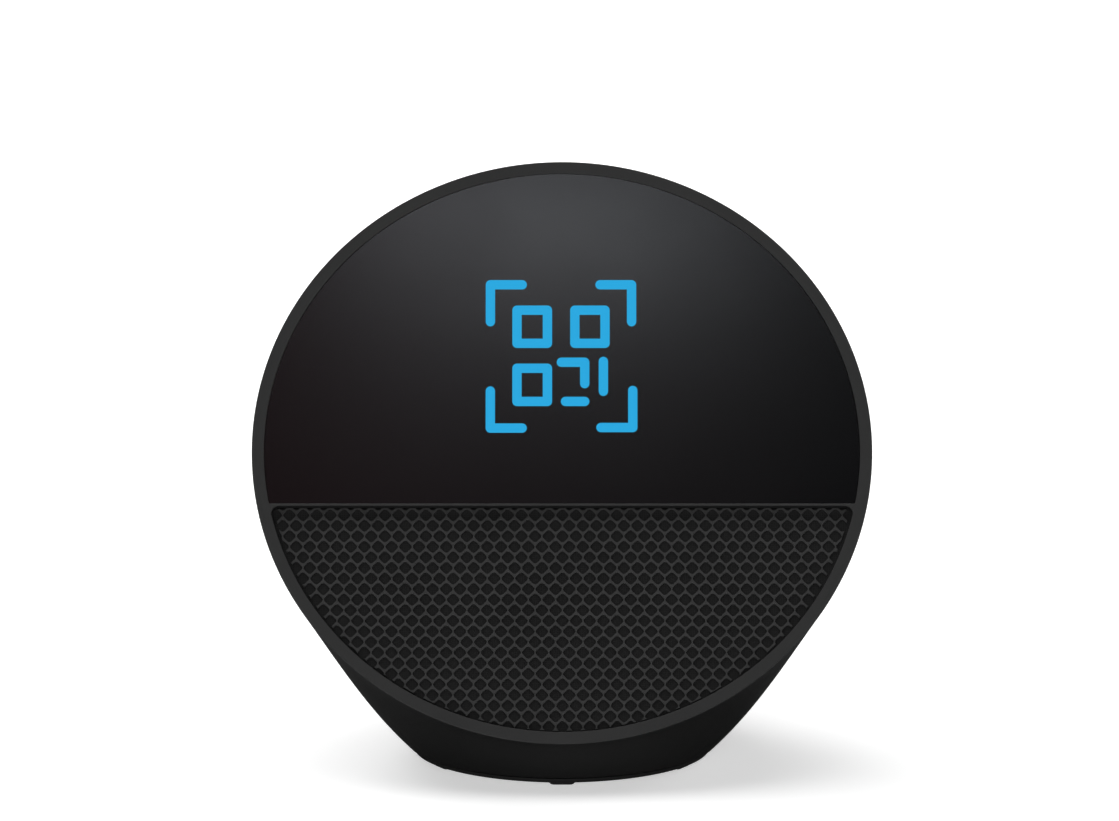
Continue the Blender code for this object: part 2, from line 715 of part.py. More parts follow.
def driver_motor():
    """Top plate, ring magnet and yoke behind the basket. The coil moves in the gap round the pole."""
    gap_r = COIL_R + 0.6 * MM
    top = -BASKET_BACK - GAP
    magnet_top = top - 2.0 * MM - GAP
    magnet_back = magnet_top - 4.0 * MM
    yoke_top = magnet_back - GAP
    yoke_back = yoke_top - 2.0 * MM
    link_part(ring("driver_top_plate", gap_r, POLE_PLATE_R, magnet_top + GAP, top), "zinc_steel", DRIVER)
    link_part(ring("driver_magnet", 8.0 * MM, MAGNET_R, magnet_back, magnet_top), "ferrite", DRIVER)
    pole = [(0, top), (POLE_R, top), (POLE_R, yoke_top), (POLE_PLATE_R, yoke_top), (POLE_PLATE_R, yoke_back),
            (0, yoke_back)]
    link_part(turned("driver_yoke", pole, closed=False), "zinc_steel", DRIVER)


def driver_diaphragm():
    """Cone, voice coil and dust cap, which move together."""
    coil_top = -12.4 * MM
    coil_low = -20.2 * MM
    link_part(ring("voice_coil", COIL_R - 0.4 * MM, COIL_R, coil_low, coil_top, 24), "copper", DRIVER)

    neck_r, neck_low = COIL_R + 0.1 * MM, coil_top + GAP
    edge_low = -7.75 * MM
    thick = 0.5 * MM
    bow = 0.8  # under 1, the cone's slope eases towards its edge
    slope = [(neck_r + (CONE_R - neck_r) * t, neck_low + (edge_low - neck_low) * t**bow)
             for t in (0, 0.3, 0.65, 1)]
    cone = [(radius, height + thick) for radius, height in slope] + slope[::-1]
    link_part(turned("speaker_cone", cone), "paper", DRIVER)

    cap_r = 4.9 * MM
    cap_rise = 1.9 * MM
    cap_base = -11.2 * MM
    cap_wall = 0.35 * MM
    dome = [(cap_r * sin(t * pi / 6), cap_base + cap_rise * cos(t * pi / 6)) for t in range(4)]
    inside = [(max(radius - cap_wall, 0), height - cap_wall) for radius, height in dome[::-1]]
    link_part(turned("dust_cap", dome + inside, 24, closed=False), "paper", DRIVER)


def driver_suspension():
    """Rubber roll in front and corrugated cloth behind, which flex as the cone moves."""
    inner = CONE_R + 0.15 * MM
    flat = -FLANGE_FRONT + 0.25 * MM
    thick = 0.35 * MM
    middle = (inner + SURROUND_R) / 2
    roll_r = (SURROUND_R - inner) / 2
    upper = half_roll(middle, roll_r, flat + thick)
    lower = half_roll(middle, roll_r - thick, flat)
    profile = upper + [(SURROUND_R, flat)] + lower[::-1] + [(inner, flat)]
    link_part(turned("cone_surround", profile), "rubber", DRIVER)

    start, end = COIL_R + 0.25 * MM, MAGNET_R - 1.4 * MM
    level = -14.3 * MM
    wave_tall = 0.35 * MM
    cloth = 0.15 * MM
    points, wave_count = 8, 2
    waves = []
    for step in range(points + 1):
        share = step / points
        waves.append((start + (end - start) * share, level + wave_tall * sin(2 * pi * wave_count * share)))
    spider = [(radius, height + cloth) for radius, height in waves]
    spider += [(radius, height - cloth) for radius, height in waves[::-1]]
    link_part(turned("cone_spider", spider, 24), "spider_cloth", DRIVER)


def half_roll(middle, radius, low, squash=0.95):
    return [(middle - radius * cos(t * pi / 5), low + squash * radius * sin(t * pi / 5)) for t in range(6)]


def driver_gasket():
    margin = 0.25 * MM
    low, high = -FLANGE_FRONT + margin, -CHASSIS_BACK - margin
    gasket = ring("driver_gasket", WINDOW_R + margin, FLANGE_R - GAP, low, high)
    link_part(gasket, "rubber", DRIVER)


# ---------------------------------------------------------------- screws

def screw_mesh(head_r, head_tall, shank_r, length):
    """Pan-head screw that points up +Z, its head's seat at the origin, with a cross recess."""
    profile = [(0, length), (shank_r, length), (shank_r, 0), (head_r, 0), (0.85 * head_r, -head_tall),
               (0, -head_tall)]
    blank = turned("screw_blank", profile, 10, closed=False)
    CUTTERS.objects.link(blank)
    slot_long, slot_wide = 1.5 * head_r, 0.3 * head_r
    for wide, tall in ((slot_long, slot_wide), (slot_wide, slot_long)):
        slot = box("screw_slot", (wide, tall, head_tall), (0, 0, -head_tall))
        cut(blank, as_tool(slot, None))
    depsgraph = bpy.context.evaluated_depsgraph_get()
    mesh = bpy.data.meshes.new_from_object(blank.evaluated_get(depsgraph))
    bpy.data.objects.remove(blank, do_unlink=True)
    return mesh


def add_screws(prefix, mesh, places, height, frame):
    for number, (x, y) in enumerate(places, 1):
        screw = bpy.data.objects.new(f"{prefix}_{number}", mesh)
        link_part(screw, "zinc_steel", frame, (x, y, height))


def board_screw_places():
    return [(side * BOARD_SCREW_X, BOARD_UP + rise * BOARD_SCREW_RISE)
            for rise in (-1, 1) for side in (-1, 1)]


def base_screw_place(number):
    angle = -pi / 2 + pi / 3 + number * 2 * pi / BASE_SCREW_COUNT
    return BASE_SCREW_REACH * cos(angle), BASE_SCREW_REACH * sin(angle)


def screws():
    driver_screw = screw_mesh(2.0 * MM, 1.2 * MM, 0.8 * MM, 3.3 * MM)
    board_screw = screw_mesh(2.2 * MM, 1.3 * MM, 0.85 * MM, 5.0 * MM)
    base_screw = screw_mesh(2.6 * MM, 1.1 * MM, 1.1 * MM, 4.8 * MM)
    base_places = [base_screw_place(number) for number in range(BASE_SCREW_COUNT)]
    add_screws("driver_screw", driver_screw, driver_screw_places(), -FLANGE_BACK - 0.2 * MM, DRIVER)
    add_screws("board_screw", board_screw, board_screw_places(), -BOARD_REAR, FACE)
    add_screws("base_screw", base_screw, base_places, BASE_SCREW_SEAT, BASE)


# ---------------------------------------------------------------- electronics

def main_board():
    holes = [circle(1.3 * MM, 8, x, y) for x, y in board_screw_places()]
    board = plate("main_board", [rounded_box(BOARD_WIDE, BOARD_TALL, 3 * MM, 0, BOARD_UP), *holes],
                  -BOARD_BACK, -BOARD_FRONT)
    link_part(board, "circuit_board", FACE)

    on_board("soc_shield", "steel", (24 * MM, 22 * MM, 2.2 * MM), (-6 * MM, 18 * MM), 0, 0.4 * MM)
    on_board("thermal_pad", "thermal_pad", (20 * MM, 18 * MM, 0.8 * MM), (-6 * MM, 18 * MM), 2.4 * MM)
    on_board("amplifier_chip", "black_plastic", (7 * MM, 7 * MM, 1.0 * MM), (18 * MM, 1.5 * MM), 0, 0.15 * MM)
    on_board("power_socket", "black_plastic", (8 * MM, 5 * MM, 4 * MM), (SOCKET_X, -1.5 * MM), 0, 0.3 * MM)
    spreader_front = BOARD_REAR + 3.4 * MM
    spreader_back = BOARD_REAR + 4.9 * MM
    outline = rounded_box(46 * MM, 30 * MM, 2 * MM, -2 * MM, 18 * MM)
    link_part(plate("heat_spreader", [outline], -spreader_back, -spreader_front), "aluminium", FACE)


def on_board(name, material, size, place, height, bevel=0.0):
    """A part on the board's rear side, its foot this height over the side's own level."""
    middle = -BOARD_REAR - height - size[2] / 2
    link_part(box(name, size, (*place, middle), bevel), material, FACE)


def antenna():
    strip = box("wifi_antenna", (8 * MM, 26 * MM, 0.6 * MM), (-41.5 * MM, 10 * MM, -CHASSIS_BACK - 0.6 * MM))
    link_part(strip, "circuit_board", FACE)
    route = [(-38.9 * MM, 8 * MM, -8.4 * MM), (-37.5 * MM, 10 * MM, -11.0 * MM),
             (-35.6 * MM, 13 * MM, -14.0 * MM), (-30.0 * MM, 15 * MM, -14.6 * MM)]
    link_part(tube("antenna_lead", route, 0.5 * MM), "black_wire", FACE)


def power_inlet():
    flange_top = -WALL - 1.0 * MM
    flange_low = flange_top - 1.0 * MM
    chamfer = 0.3 * MM
    profile = [
        (0, -JACK_BORE_DEEP), (JACK_BORE_R, -JACK_BORE_DEEP), (JACK_BORE_R, -JACK_LIP - chamfer),
        (JACK_BORE_R + chamfer, -JACK_LIP), (JACK_R, -JACK_LIP), (JACK_R, flange_top),
        (JACK_FLANGE_R, flange_top), (JACK_FLANGE_R, flange_low), (JACK_R, flange_low),
        (JACK_R, -JACK_DEEP), (0, -JACK_DEEP),
    ]
    link_part(turned("dc_jack", profile, 28, closed=False), "black_plastic", JACK)
    pin_r = 0.85 * MM
    pin_low = -JACK_BORE_DEEP + GAP
    tip = [(0, -2.6 * MM), (0.5 * MM, -2.7 * MM), (pin_r, -3.3 * MM), (pin_r, pin_low), (0, pin_low)]
    link_part(turned("dc_jack_pin", tip, 12, closed=False), "steel", JACK)


def in_world(frame, place):
    bpy.context.view_layer.update()
    return frame.matrix_world @ Vector(place)


def wires():
    for name, side, colour in (("red", -1, "red_wire"), ("black", 1, "black_wire")):
        x = side * 1.2 * MM
        start = in_world(JACK, (x, 0, -JACK_DEEP - 0.6 * MM))
        leave = in_world(JACK, (x, 1 * MM, -JACK_DEEP - 5 * MM))
        arrive = in_world(FACE, (SOCKET_X + x, -3 * MM, -22 * MM))
        end = in_world(FACE, (SOCKET_X + x, -1.5 * MM, -18.3 * MM))
        link_part(tube(f"power_wire_{name}", [start, leave, arrive, end], 0.7 * MM), colour, None)
        x = 12 * MM + side * 1.0 * MM
        route = [(x, -16.5 * MM, -14.2 * MM), (x, -12 * MM, -16.6 * MM), (x + MM, -8 * MM, -16.8 * MM),
                 (x + 2 * MM, -4.6 * MM, -14.8 * MM)]
        link_part(tube(f"speaker_wire_{name}", route, 0.5 * MM), colour, FACE)


# ---------------------------------------------------------------- buttons and microphones

def button(name, frame):
    """Domed key. Its collar stays behind the wall, its stem stops just clear of the switch."""
    top = 0.6 * MM
    drop = 0.25 * MM
    crown_r = BUTTON_R - 0.25 * MM
    crown = [(crown_r * share, top - drop * share**2) for share in (0, 0.6, 1)]
    collar_r = 5.2 * MM
    collar_top = -WALL - 0.9 * MM
    collar_low = collar_top - 0.8 * MM
    stem_r = 1.5 * MM
    profile = [*crown, (BUTTON_R, 0.12 * MM), (BUTTON_R, collar_top), (collar_r, collar_top),
               (collar_r, collar_low), (stem_r, collar_low), (stem_r, -BUTTON_DEEP), (0, -BUTTON_DEEP)]
    link_part(turned(f"button_{name}", profile, 24, closed=False), "shell_plastic", frame)


def tact_switch(name, frame):
    side = 5.0 * MM
    switch = box(f"switch_{name}", (side, side, SWITCH_TALL), (0, 0, -SWITCH_MIDDLE))
    link_part(switch, "steel", frame)
    plunger = cylinder(f"switch_plunger_{name}", 1.2 * MM, -SWITCH_MIDDLE + SWITCH_TALL / 4, -SWITCH_TOP, 10)
    join(switch, as_tool(plunger, frame))


def microphone(name, frame):
    can = box(f"microphone_{name}", (3.4 * MM, 2.6 * MM, 1.2 * MM), (0, 0, -SWITCH_MIDDLE - 0.1 * MM))
    link_part(can, "steel", frame)


def button_board():
    """Curved board under the switches, an arc about the crest's centre."""
    reach = CREST_R - SWITCH_MIDDLE - SWITCH_TALL / 2 - GAP
    thick = 1.2 * MM
    wide = 9.0 * MM
    half = MIC_SPREAD + radians(4)
    outer = arc(reach, pi / 2 - half, pi / 2 + half, 16)
    inner = arc(reach - thick, pi / 2 + half, pi / 2 - half, 16)
    across = axes_matrix((0, 0, 0), (1, 0, 0), (0, 0, 1), (0, -1, 0))
    side = add_frame("button_board_frame", across, CREST_CENTRE)
    link_part(plate("button_board", [outer + inner], -wide / 2, wide / 2), "circuit_board", side)

    start = in_world(CREST, (9 * MM, 1 * MM, -10.4 * MM))
    bend = in_world(CREST, (9 * MM, 2 * MM, -13.0 * MM))
    into = in_world(FACE, (9 * MM, 41 * MM, -15 * MM))
    end = in_world(FACE, (9 * MM, 33.0 * MM, -14.3 * MM))
    link_part(tube("button_lead", [start, bend, into, end], 0.7 * MM), "black_wire", None)


# ---------------------------------------------------------------- base

def base_plate():
    """The plate that closes the housing. Its rim shows, and a groove in its underside holds the foot."""
    edge = 0.3 * MM
    profile = [
        (0, PLATE_HIGH), (PLUG_R, PLATE_HIGH), (PLUG_R, PLATE_LIP), (PLATE_R, PLATE_LIP),
        (PLATE_R, PLATE_LOW + edge), (PLATE_R - edge, PLATE_LOW), (GROOVE_OUT_R, PLATE_LOW),
        (GROOVE_OUT_R, GROOVE_TOP),
        (GROOVE_IN_R, GROOVE_TOP), (GROOVE_IN_R, PLATE_LOW), (0, PLATE_LOW),
    ]
    base = link_part(turned("base_plate", profile, 48, closed=False), "black_plastic", BASE)
    sink_r, sink_top = 3.0 * MM, BASE_SCREW_SEAT + 0.2 * MM
    hole_r = 1.4 * MM
    for number in range(BASE_SCREW_COUNT):
        x, y = base_screw_place(number)
        sink = cylinder(f"base_sink_{number + 1}", sink_r, PLATE_LOW - MM, sink_top, 14, x, y)
        hole = cylinder(f"base_hole_{number + 1}", hole_r, PLATE_LOW, PLATE_HIGH + MM, 10, x, y)
        cut(base, as_tool(sink, BASE), as_tool(hole, BASE))


def foot_ring():
    """Rubber ring in the base's groove, with six pads that stand on the table."""
    low, high = 0.35 * MM, GROOVE_TOP - GAP
    foot = link_part(ring("foot_ring", GROOVE_IN_R + GAP, GROOVE_OUT_R - GAP, low, high, 48), "rubber", BASE)
    for number in range(FOOT_COUNT):
        turn = Matrix.Rotation(-pi / 2 + number * 2 * pi / FOOT_COUNT, 4, "Z")
        frame = add_frame(f"foot_pad_frame_{number + 1}", turn, BASE)
        pad = box(f"foot_pad_{number + 1}", (FOOT_LONG, FOOT_WIDE, FOOT_TALL), (FOOT_REACH, 0, FOOT_TALL / 2))
        slope = pad.modifiers.new("sloped_edges", "BEVEL")
        slope.width = FOOT_TALL / 2
        slope.segments = 1
        join(foot, as_tool(pad, frame))


rear_housing()
front_bezel()
cover_glass()
speaker_grille()
front_chassis()
display()
driver_basket()
driver_motor()
driver_diaphragm()
driver_suspension()
driver_gasket()
screws()
main_board()
antenna()
power_inlet()
wires()
for name, frame in BUTTON_FRAMES.items():
    button(name, frame)
    tact_switch(name, frame)
for name, frame in MIC_FRAMES.items():
    microphone(name, frame)
button_board()
base_plate()
foot_ring()
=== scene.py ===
from math import atan2, ceil, cos, pi, radians, sin, sqrt

import bpy
from mathutils import Matrix, Vector
from mathutils.bvhtree import BVHTree
from mathutils.geometry import delaunay_2d_cdt


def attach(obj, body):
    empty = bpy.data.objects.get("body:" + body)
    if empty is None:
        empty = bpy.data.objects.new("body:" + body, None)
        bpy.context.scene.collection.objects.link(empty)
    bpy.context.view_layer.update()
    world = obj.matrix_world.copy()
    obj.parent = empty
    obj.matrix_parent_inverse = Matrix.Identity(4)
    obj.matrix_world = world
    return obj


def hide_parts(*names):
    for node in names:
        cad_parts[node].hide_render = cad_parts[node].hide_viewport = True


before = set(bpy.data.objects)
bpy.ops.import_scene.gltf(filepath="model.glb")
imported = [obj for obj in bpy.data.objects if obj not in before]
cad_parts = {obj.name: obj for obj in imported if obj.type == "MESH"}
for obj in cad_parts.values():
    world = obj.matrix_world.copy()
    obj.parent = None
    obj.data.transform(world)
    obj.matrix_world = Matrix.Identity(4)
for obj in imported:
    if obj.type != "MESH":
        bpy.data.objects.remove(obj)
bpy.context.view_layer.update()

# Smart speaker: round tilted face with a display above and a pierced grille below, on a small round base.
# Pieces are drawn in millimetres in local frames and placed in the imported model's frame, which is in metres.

MM = 0.001
ROOT = "speaker_body"

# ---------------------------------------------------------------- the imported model's dimensions, in mm

FACE_R = 56.5
FACE_LEAN = radians(33.7)
BASE_R = 27.2
BASE_Y = -12.28
SKIN_END_Z = 1.0
WALL = 2.0
GAP = 0.3
PIVOT_TO_FACE = 10.613
PIVOT_Y = BASE_Y - 40.109
FRONT_EASE = (0.327, -4.422)
BACK_EASE = (11.794, 32.724)
SIDE_EASE = (-0.1101, -0.1248)

RIM_INNER_R = 54.24
RIM_THICK = 0.4
SLEEVE_R = 54.9
SLEEVE_DEPTH = 3.3
HOUSING_FRONT = 0.45
BAR_TOP = -10.11
BAR_BOTTOM = -10.46
BAR_CORNER_R = 1.5
GLASS_R = 54.19
GLASS_FRONT = 0.15
GLASS_BACK = 1.25
GRILLE_R = 53.45
GRILLE_FRONT = 1.6
GRILLE_BACK = 1.95
GRILLE_CHORD = -10.38
GRILLE_CORNER = 1.2
CLOTH_FRONT = 2.0
CLOTH_BACK = 2.8
CLOTH_R = 54.1
BAR_BACK = 1.5

BUTTON_TURN = 0.135
BUTTON_SPREAD = radians(14.0)
MIC_SPREAD = radians(24.5)
BUTTON_R = 4.4
MIC_PORT_R = 0.7
JACK_TURN = 0.70
JACK_R = 5.3
JACK_BORE_R = 2.75

BODY_LOW_Z = 1.8
PLATE_R = 27.1
PLATE_LOW = 0.65
PLATE_HIGH = 4.5
FOOT_REACH = 24.35
FOOT_COUNT = 6
SCREW_COUNT = 3
SCREW_REACH = 17.0

# Grille pattern: rows of rounded diamonds, every other row shifted by half a pitch
PITCH = 2.483
ROW_STEP = 2.048
FIRST_ROW = -11.72
PATTERN_X = 0.09
HOLE_HALF_WIDE = 1.312
HOLE_HALF_TALL = 1.40
HOLE_CORNER = 0.53


# ---------------------------------------------------------------- the body's surface, as in the CAD

def ease(start, leave, arrive, end, t):
    far = 1 - t
    return start * far**3 + 3 * (start + leave) * t * far**2 + 3 * (end + arrive) * t**2 * far + end * t**3


def skin_point(turn, around):
    """Point on the body. turn is 0 at the face and 1 at the base; around is 0 at the back."""
    near = ease(PIVOT_TO_FACE, FRONT_EASE[0], FRONT_EASE[1], BASE_Y - BASE_R - PIVOT_Y, turn)
    far = ease(PIVOT_TO_FACE + 2 * FACE_R, BACK_EASE[0], BACK_EASE[1], BASE_Y + BASE_R - PIVOT_Y, turn)
    slim = 1 + 3 * SIDE_EASE[0] * turn * (1 - turn) ** 2 + 3 * SIDE_EASE[1] * turn**2 * (1 - turn)
    radius = (far - near) / 2
    reach = (far + near) / 2 + radius * cos(around)
    swing = (pi / 2 - FACE_LEAN) * (1 - turn)
    ahead, up = reach * cos(swing), reach * sin(swing)
    return Vector((radius * slim * sin(around), PIVOT_Y + ahead, SKIN_END_Z + up))


def skin_normal(turn, around):
    step = 0.001
    down = skin_point(turn + step, around) - skin_point(turn - step, around)
    across = skin_point(turn, around + step) - skin_point(turn, around - step)
    return across.cross(down).normalized()


def axes_matrix(origin, right, up, out):
    matrix = Matrix.Identity(4)
    for column, axis in enumerate((right, up, out, origin)):
        for row in range(3):
            matrix[row][column] = axis[row]
    return matrix


def face_matrix():
    up = Vector((0, sin(FACE_LEAN), cos(FACE_LEAN)))
    out = Vector((0, -cos(FACE_LEAN), sin(FACE_LEAN)))
    centre = Vector((0, PIVOT_Y, SKIN_END_Z)) + (PIVOT_TO_FACE + FACE_R) * up
    return axes_matrix(centre, Vector((1, 0, 0)), up, out)


def skin_matrix(turn):
    """A frame on the body's middle line with its Z pointing out of the surface."""
    out = skin_normal(turn, 0)
    right = Vector((1, 0, 0))
    return axes_matrix(skin_point(turn, 0), right, out.cross(right), out)


def crest_radius():
    """Radius to which the body bends from side to side at the buttons."""
    crest, aside = skin_point(BUTTON_TURN, 0), skin_point(BUTTON_TURN, 0.05)
    inward = (skin_point(BUTTON_TURN, pi) - crest).normalized()
    squareness = -inward.dot(skin_normal(BUTTON_TURN, 0))
    return aside.x**2 / (2 * (aside - crest).dot(inward)) / squareness


FACE = face_matrix()
JACK = skin_matrix(JACK_TURN)
BASE = Matrix.Translation((0, BASE_Y, 0))
CREST_R = crest_radius()


def crest_matrix(angle):
    """A frame on the crest's surface, turned to the side by angle."""
    centre = skin_matrix(BUTTON_TURN) @ Matrix.Translation((0, 0, -CREST_R))
    return centre @ Matrix.Rotation(angle, 4, "Y") @ Matrix.Translation((0, 0, CREST_R))


KEYS = {
    "volume_down": crest_matrix(-BUTTON_SPREAD),
    "mic_mute": crest_matrix(0.0),
    "volume_up": crest_matrix(BUTTON_SPREAD),
}
MIC_PORTS = [crest_matrix(-MIC_SPREAD), crest_matrix(MIC_SPREAD)]


# ---------------------------------------------------------------- finishes

def add_node(tree, kind, **settings):
    """A shader node. Settings that name a socket set its value, the others set the node's own property."""
    made = tree.nodes.new(kind)
    for key, value in settings.items():
        title = key.replace("_", " ").title()
        if title in made.inputs:
            made.inputs[title].default_value = value
        else:
            setattr(made, key, value)
    return made


def noise(tree, place, size, detail=3.0, stretch=(1, 1, 1)):
    """Noise whose lumps are about size mm across, longer along an axis where stretch is under 1."""
    mapping = add_node(tree, "ShaderNodeMapping", scale=stretch)
    tree.links.new(place, mapping.inputs["Vector"])
    lumps = add_node(tree, "ShaderNodeTexNoise", scale=1 / (size * MM), detail=detail, roughness=0.55)
    tree.links.new(mapping.outputs["Vector"], lumps.inputs["Vector"])
    return lumps.outputs["Fac"]


def blend_values(tree, operation, first, second):
    mixed = add_node(tree, "ShaderNodeMath", operation=operation)
    for socket, source in zip(mixed.inputs, (first, second)):
        if isinstance(source, (int, float)):
            socket.default_value = source
        else:
            tree.links.new(source, socket)
    return mixed.outputs["Value"]


def weave(tree, place, period):
    """Plain cloth: threads that cross at right angles in the face's plane, period mm apart."""
    turned_place = add_node(tree, "ShaderNodeMapping", rotation=(FACE_LEAN - pi / 2, 0, 0))
    tree.links.new(place, turned_place.inputs["Vector"])
    waves_per_metre = 1 / (period * MM)
    node_scale = waves_per_metre * 2 * pi / 20  # the node turns 20 radians a unit
    threads = []
    for axis in "XY":
        bands = add_node(
            tree, "ShaderNodeTexWave", bands_direction=axis, scale=node_scale, distortion=0.6,
            detail=1.0, detail_scale=2.0,
        )
        tree.links.new(turned_place.outputs["Vector"], bands.inputs["Vector"])
        threads.append(bands.outputs["Fac"])
    return blend_values(tree, "MAXIMUM", *threads)


def cells(tree, place, size, feature="F1"):
    """Rounded cells about size mm across."""
    grid = add_node(tree, "ShaderNodeTexVoronoi", feature=feature, scale=1 / (size * MM))
    tree.links.new(place, grid.inputs["Vector"])
    return grid.outputs["Distance"]


def coloured(value):
    return (value, value, value, 1.0) if isinstance(value, (int, float)) else (*value, 1.0)


VARIATION_RANGE = (0.3, 0.7)  # most of a noise's values lie between these


def finish(name, dark, light, rough, grain, bump, pattern="grain", blotch=14.0, grain_share=0.5, **sockets):
    """A procedural material.

    dark and light are the colours it varies between, rough the least and most roughness, grain the
    size of its texture and bump the texture's depth, both in mm. The other words set shader sockets.
    """
    material = bpy.data.materials.new(f"{name}_finish")
    material.use_nodes = True
    tree = material.node_tree
    shader = tree.nodes["Principled BSDF"]
    for key, value in sockets.items():
        shader.inputs[key.replace("_", " ")].default_value = value
    place = add_node(tree, "ShaderNodeTexCoord").outputs["Object"]
    if pattern == "weave":
        texture = weave(tree, place, grain)
    elif pattern == "cells":
        texture = cells(tree, place, grain)
    elif pattern == "brushed":
        texture = noise(tree, place, grain, 2.0, (1, 0.06, 0.06))
    elif pattern == "pebbled":
        pebbles = cells(tree, place, grain, "SMOOTH_F1")
        texture = blend_values(tree, "MULTIPLY", pebbles, noise(tree, place, grain * 0.6))
    else:
        texture = noise(tree, place, grain)
    patches = noise(tree, place, blotch)

    fine_part = blend_values(tree, "MULTIPLY", texture, grain_share)
    broad_part = blend_values(tree, "MULTIPLY", patches, 1 - grain_share)
    variation = blend_values(tree, "ADD", fine_part, broad_part)
    low, high = VARIATION_RANGE
    ramp = add_node(tree, "ShaderNodeValToRGB")
    for element, place_on_ramp, colour in zip(ramp.color_ramp.elements, (low, high), (dark, light)):
        element.position = place_on_ramp
        element.color = coloured(colour)
    tree.links.new(variation, ramp.inputs["Fac"])
    tree.links.new(ramp.outputs["Color"], shader.inputs["Base Color"])

    spread = add_node(
        tree, "ShaderNodeMapRange", from_min=low, from_max=high, to_min=rough[0], to_max=rough[1],
    )
    tree.links.new(variation, spread.inputs["Value"])
    tree.links.new(spread.outputs["Result"], shader.inputs["Roughness"])

    relief = add_node(tree, "ShaderNodeBump", strength=1.0, distance=bump * MM)
    tree.links.new(texture, relief.inputs["Height"])
    tree.links.new(relief.outputs["Normal"], shader.inputs["Normal"])
    return material


def glass_finish():
    """Polished dark glass with faint smears in its polish; its base colour holds a painted reflection, lighter
    and warm at the left, darker and neutral at the right.
    """
    material = finish("glass", 0.004, 0.005, (0.132, 0.148), 18.0, 0.0, blotch=40.0)
    tree = material.node_tree
    shader = tree.nodes["Principled BSDF"]
    place = add_node(tree, "ShaderNodeTexCoord").outputs["Object"]
    # painted reflection: the base colour runs from a lighter, warm black at the left to a darker, neutral
    # black at the right
    apart = add_node(tree, "ShaderNodeSeparateXYZ")
    tree.links.new(place, apart.inputs["Vector"])
    across = add_node(tree, "ShaderNodeMapRange", from_min=-0.05, from_max=0.05)
    tree.links.new(apart.outputs["X"], across.inputs["Value"])
    ramp = add_node(tree, "ShaderNodeValToRGB")
    ramp.color_ramp.elements[0].color = (0.0075, 0.0035, 0.0042, 1.0)
    ramp.color_ramp.elements[1].color = (0.0024, 0.0022, 0.0026, 1.0)
    tree.links.new(across.outputs["Result"], ramp.inputs["Fac"])
    tree.links.new(ramp.outputs["Color"], shader.inputs["Base Color"])
    return material


def lit_finish(name, low, high, strength):
    """The shining part of the display: a fine dot pattern that varies a little in brightness."""
    material = finish(name, 0.004, 0.008, (0.2, 0.3), 0.25, 0.0, "cells")
    tree = material.node_tree
    shader = tree.nodes["Principled BSDF"]
    place = add_node(tree, "ShaderNodeTexCoord").outputs["Object"]
    ramp = add_node(tree, "ShaderNodeValToRGB")
    ramp.color_ramp.elements[0].color = coloured(low)
    ramp.color_ramp.elements[1].color = coloured(high)
    tree.links.new(cells(tree, place, 0.12), ramp.inputs["Fac"])
    tree.links.new(ramp.outputs["Color"], shader.inputs["Emission Color"])
    shader.inputs["Emission Strength"].default_value = strength
    shader.inputs["Specular IOR Level"].default_value = 0.0
    return material


FINISHES = {
    "shell": finish("shell", 0.0088, 0.0108, (0.52, 0.64), 0.35, 0.02, Specular_IOR_Level=0.14),
    "rim": finish("rim", 0.0245, 0.028, (0.42, 0.52), 0.30, 0.01, Specular_IOR_Level=0.3),
    "glass": glass_finish(),
    "grille": finish("grille", 0.031, 0.036, (0.48, 0.58), 0.22, 0.01, Specular_IOR_Level=0.3),
    "cloth": finish("cloth", 0.011, 0.018, (0.85, 0.95), 0.42, 0.04, "weave", Specular_IOR_Level=0.1),
    "black_plastic": finish("black_plastic", 0.0095, 0.0125, (0.55, 0.68), 0.40, 0.03,
                            Specular_IOR_Level=0.2),
    "adhesive": finish("adhesive", 0.006, 0.014, (0.80, 0.92), 0.5, 0.05, "cells", Specular_IOR_Level=0.2),
    "display": finish("display", (0.010, 0.014, 0.018), (0.020, 0.028, 0.036), (0.10, 0.18), 0.4, 0.0,
                      "cells"),
    "steel": finish("steel", (0.48, 0.49, 0.50), (0.60, 0.61, 0.62), (0.28, 0.42), 0.5, 0.01, "brushed",
                    Metallic=1.0),
    "aluminium": finish("aluminium", (0.66, 0.67, 0.68), (0.78, 0.79, 0.80), (0.30, 0.42), 0.6, 0.01,
                        "brushed", Metallic=1.0),
    "screws": finish("screws", (0.50, 0.50, 0.48), (0.68, 0.68, 0.65), (0.22, 0.40), 0.5, 0.02, Metallic=1.0),
    "ferrite": finish("ferrite", 0.035, 0.060, (0.60, 0.80), 0.3, 0.04, "pebbled"),
    "copper": finish("copper", (0.60, 0.26, 0.12), (0.80, 0.42, 0.24), (0.25, 0.40), 0.2, 0.03, "brushed",
                     Metallic=1.0),
    "paper": finish("paper", 0.016, 0.040, (0.80, 0.95), 0.6, 0.08),
    "rubber": finish("rubber", 0.008, 0.015, (0.70, 0.85), 0.35, 0.02, Specular_IOR_Level=0.3),
    "spider_cloth": finish("spider_cloth", (0.35, 0.18, 0.05), (0.60, 0.38, 0.15), (0.85, 0.95), 0.6, 0.08,
                           "weave"),
    "circuit_board": finish("circuit_board", (0.004, 0.045, 0.016), (0.010, 0.100, 0.036), (0.30, 0.50), 1.2,
                            0.03, "cells"),
    "flex_film": finish("flex_film", (0.34, 0.13, 0.02), (0.50, 0.24, 0.05), (0.30, 0.42), 0.8, 0.01,
                        "brushed"),
    "thermal_pad": finish("thermal_pad", (0.20, 0.25, 0.33), (0.30, 0.35, 0.42), (0.85, 0.95), 0.4, 0.05),
    "red_wire": finish("red_wire", (0.35, 0.006, 0.006), (0.52, 0.012, 0.012), (0.42, 0.55), 0.5, 0.01),
    "black_wire": finish("black_wire", 0.006, 0.013, (0.42, 0.55), 0.5, 0.01),
}
GLOW = lit_finish("pictogram", (0.0222, 0.385, 0.73), (0.0222, 0.40, 0.75), 1.0)


# ---------------------------------------------------------------- making pieces

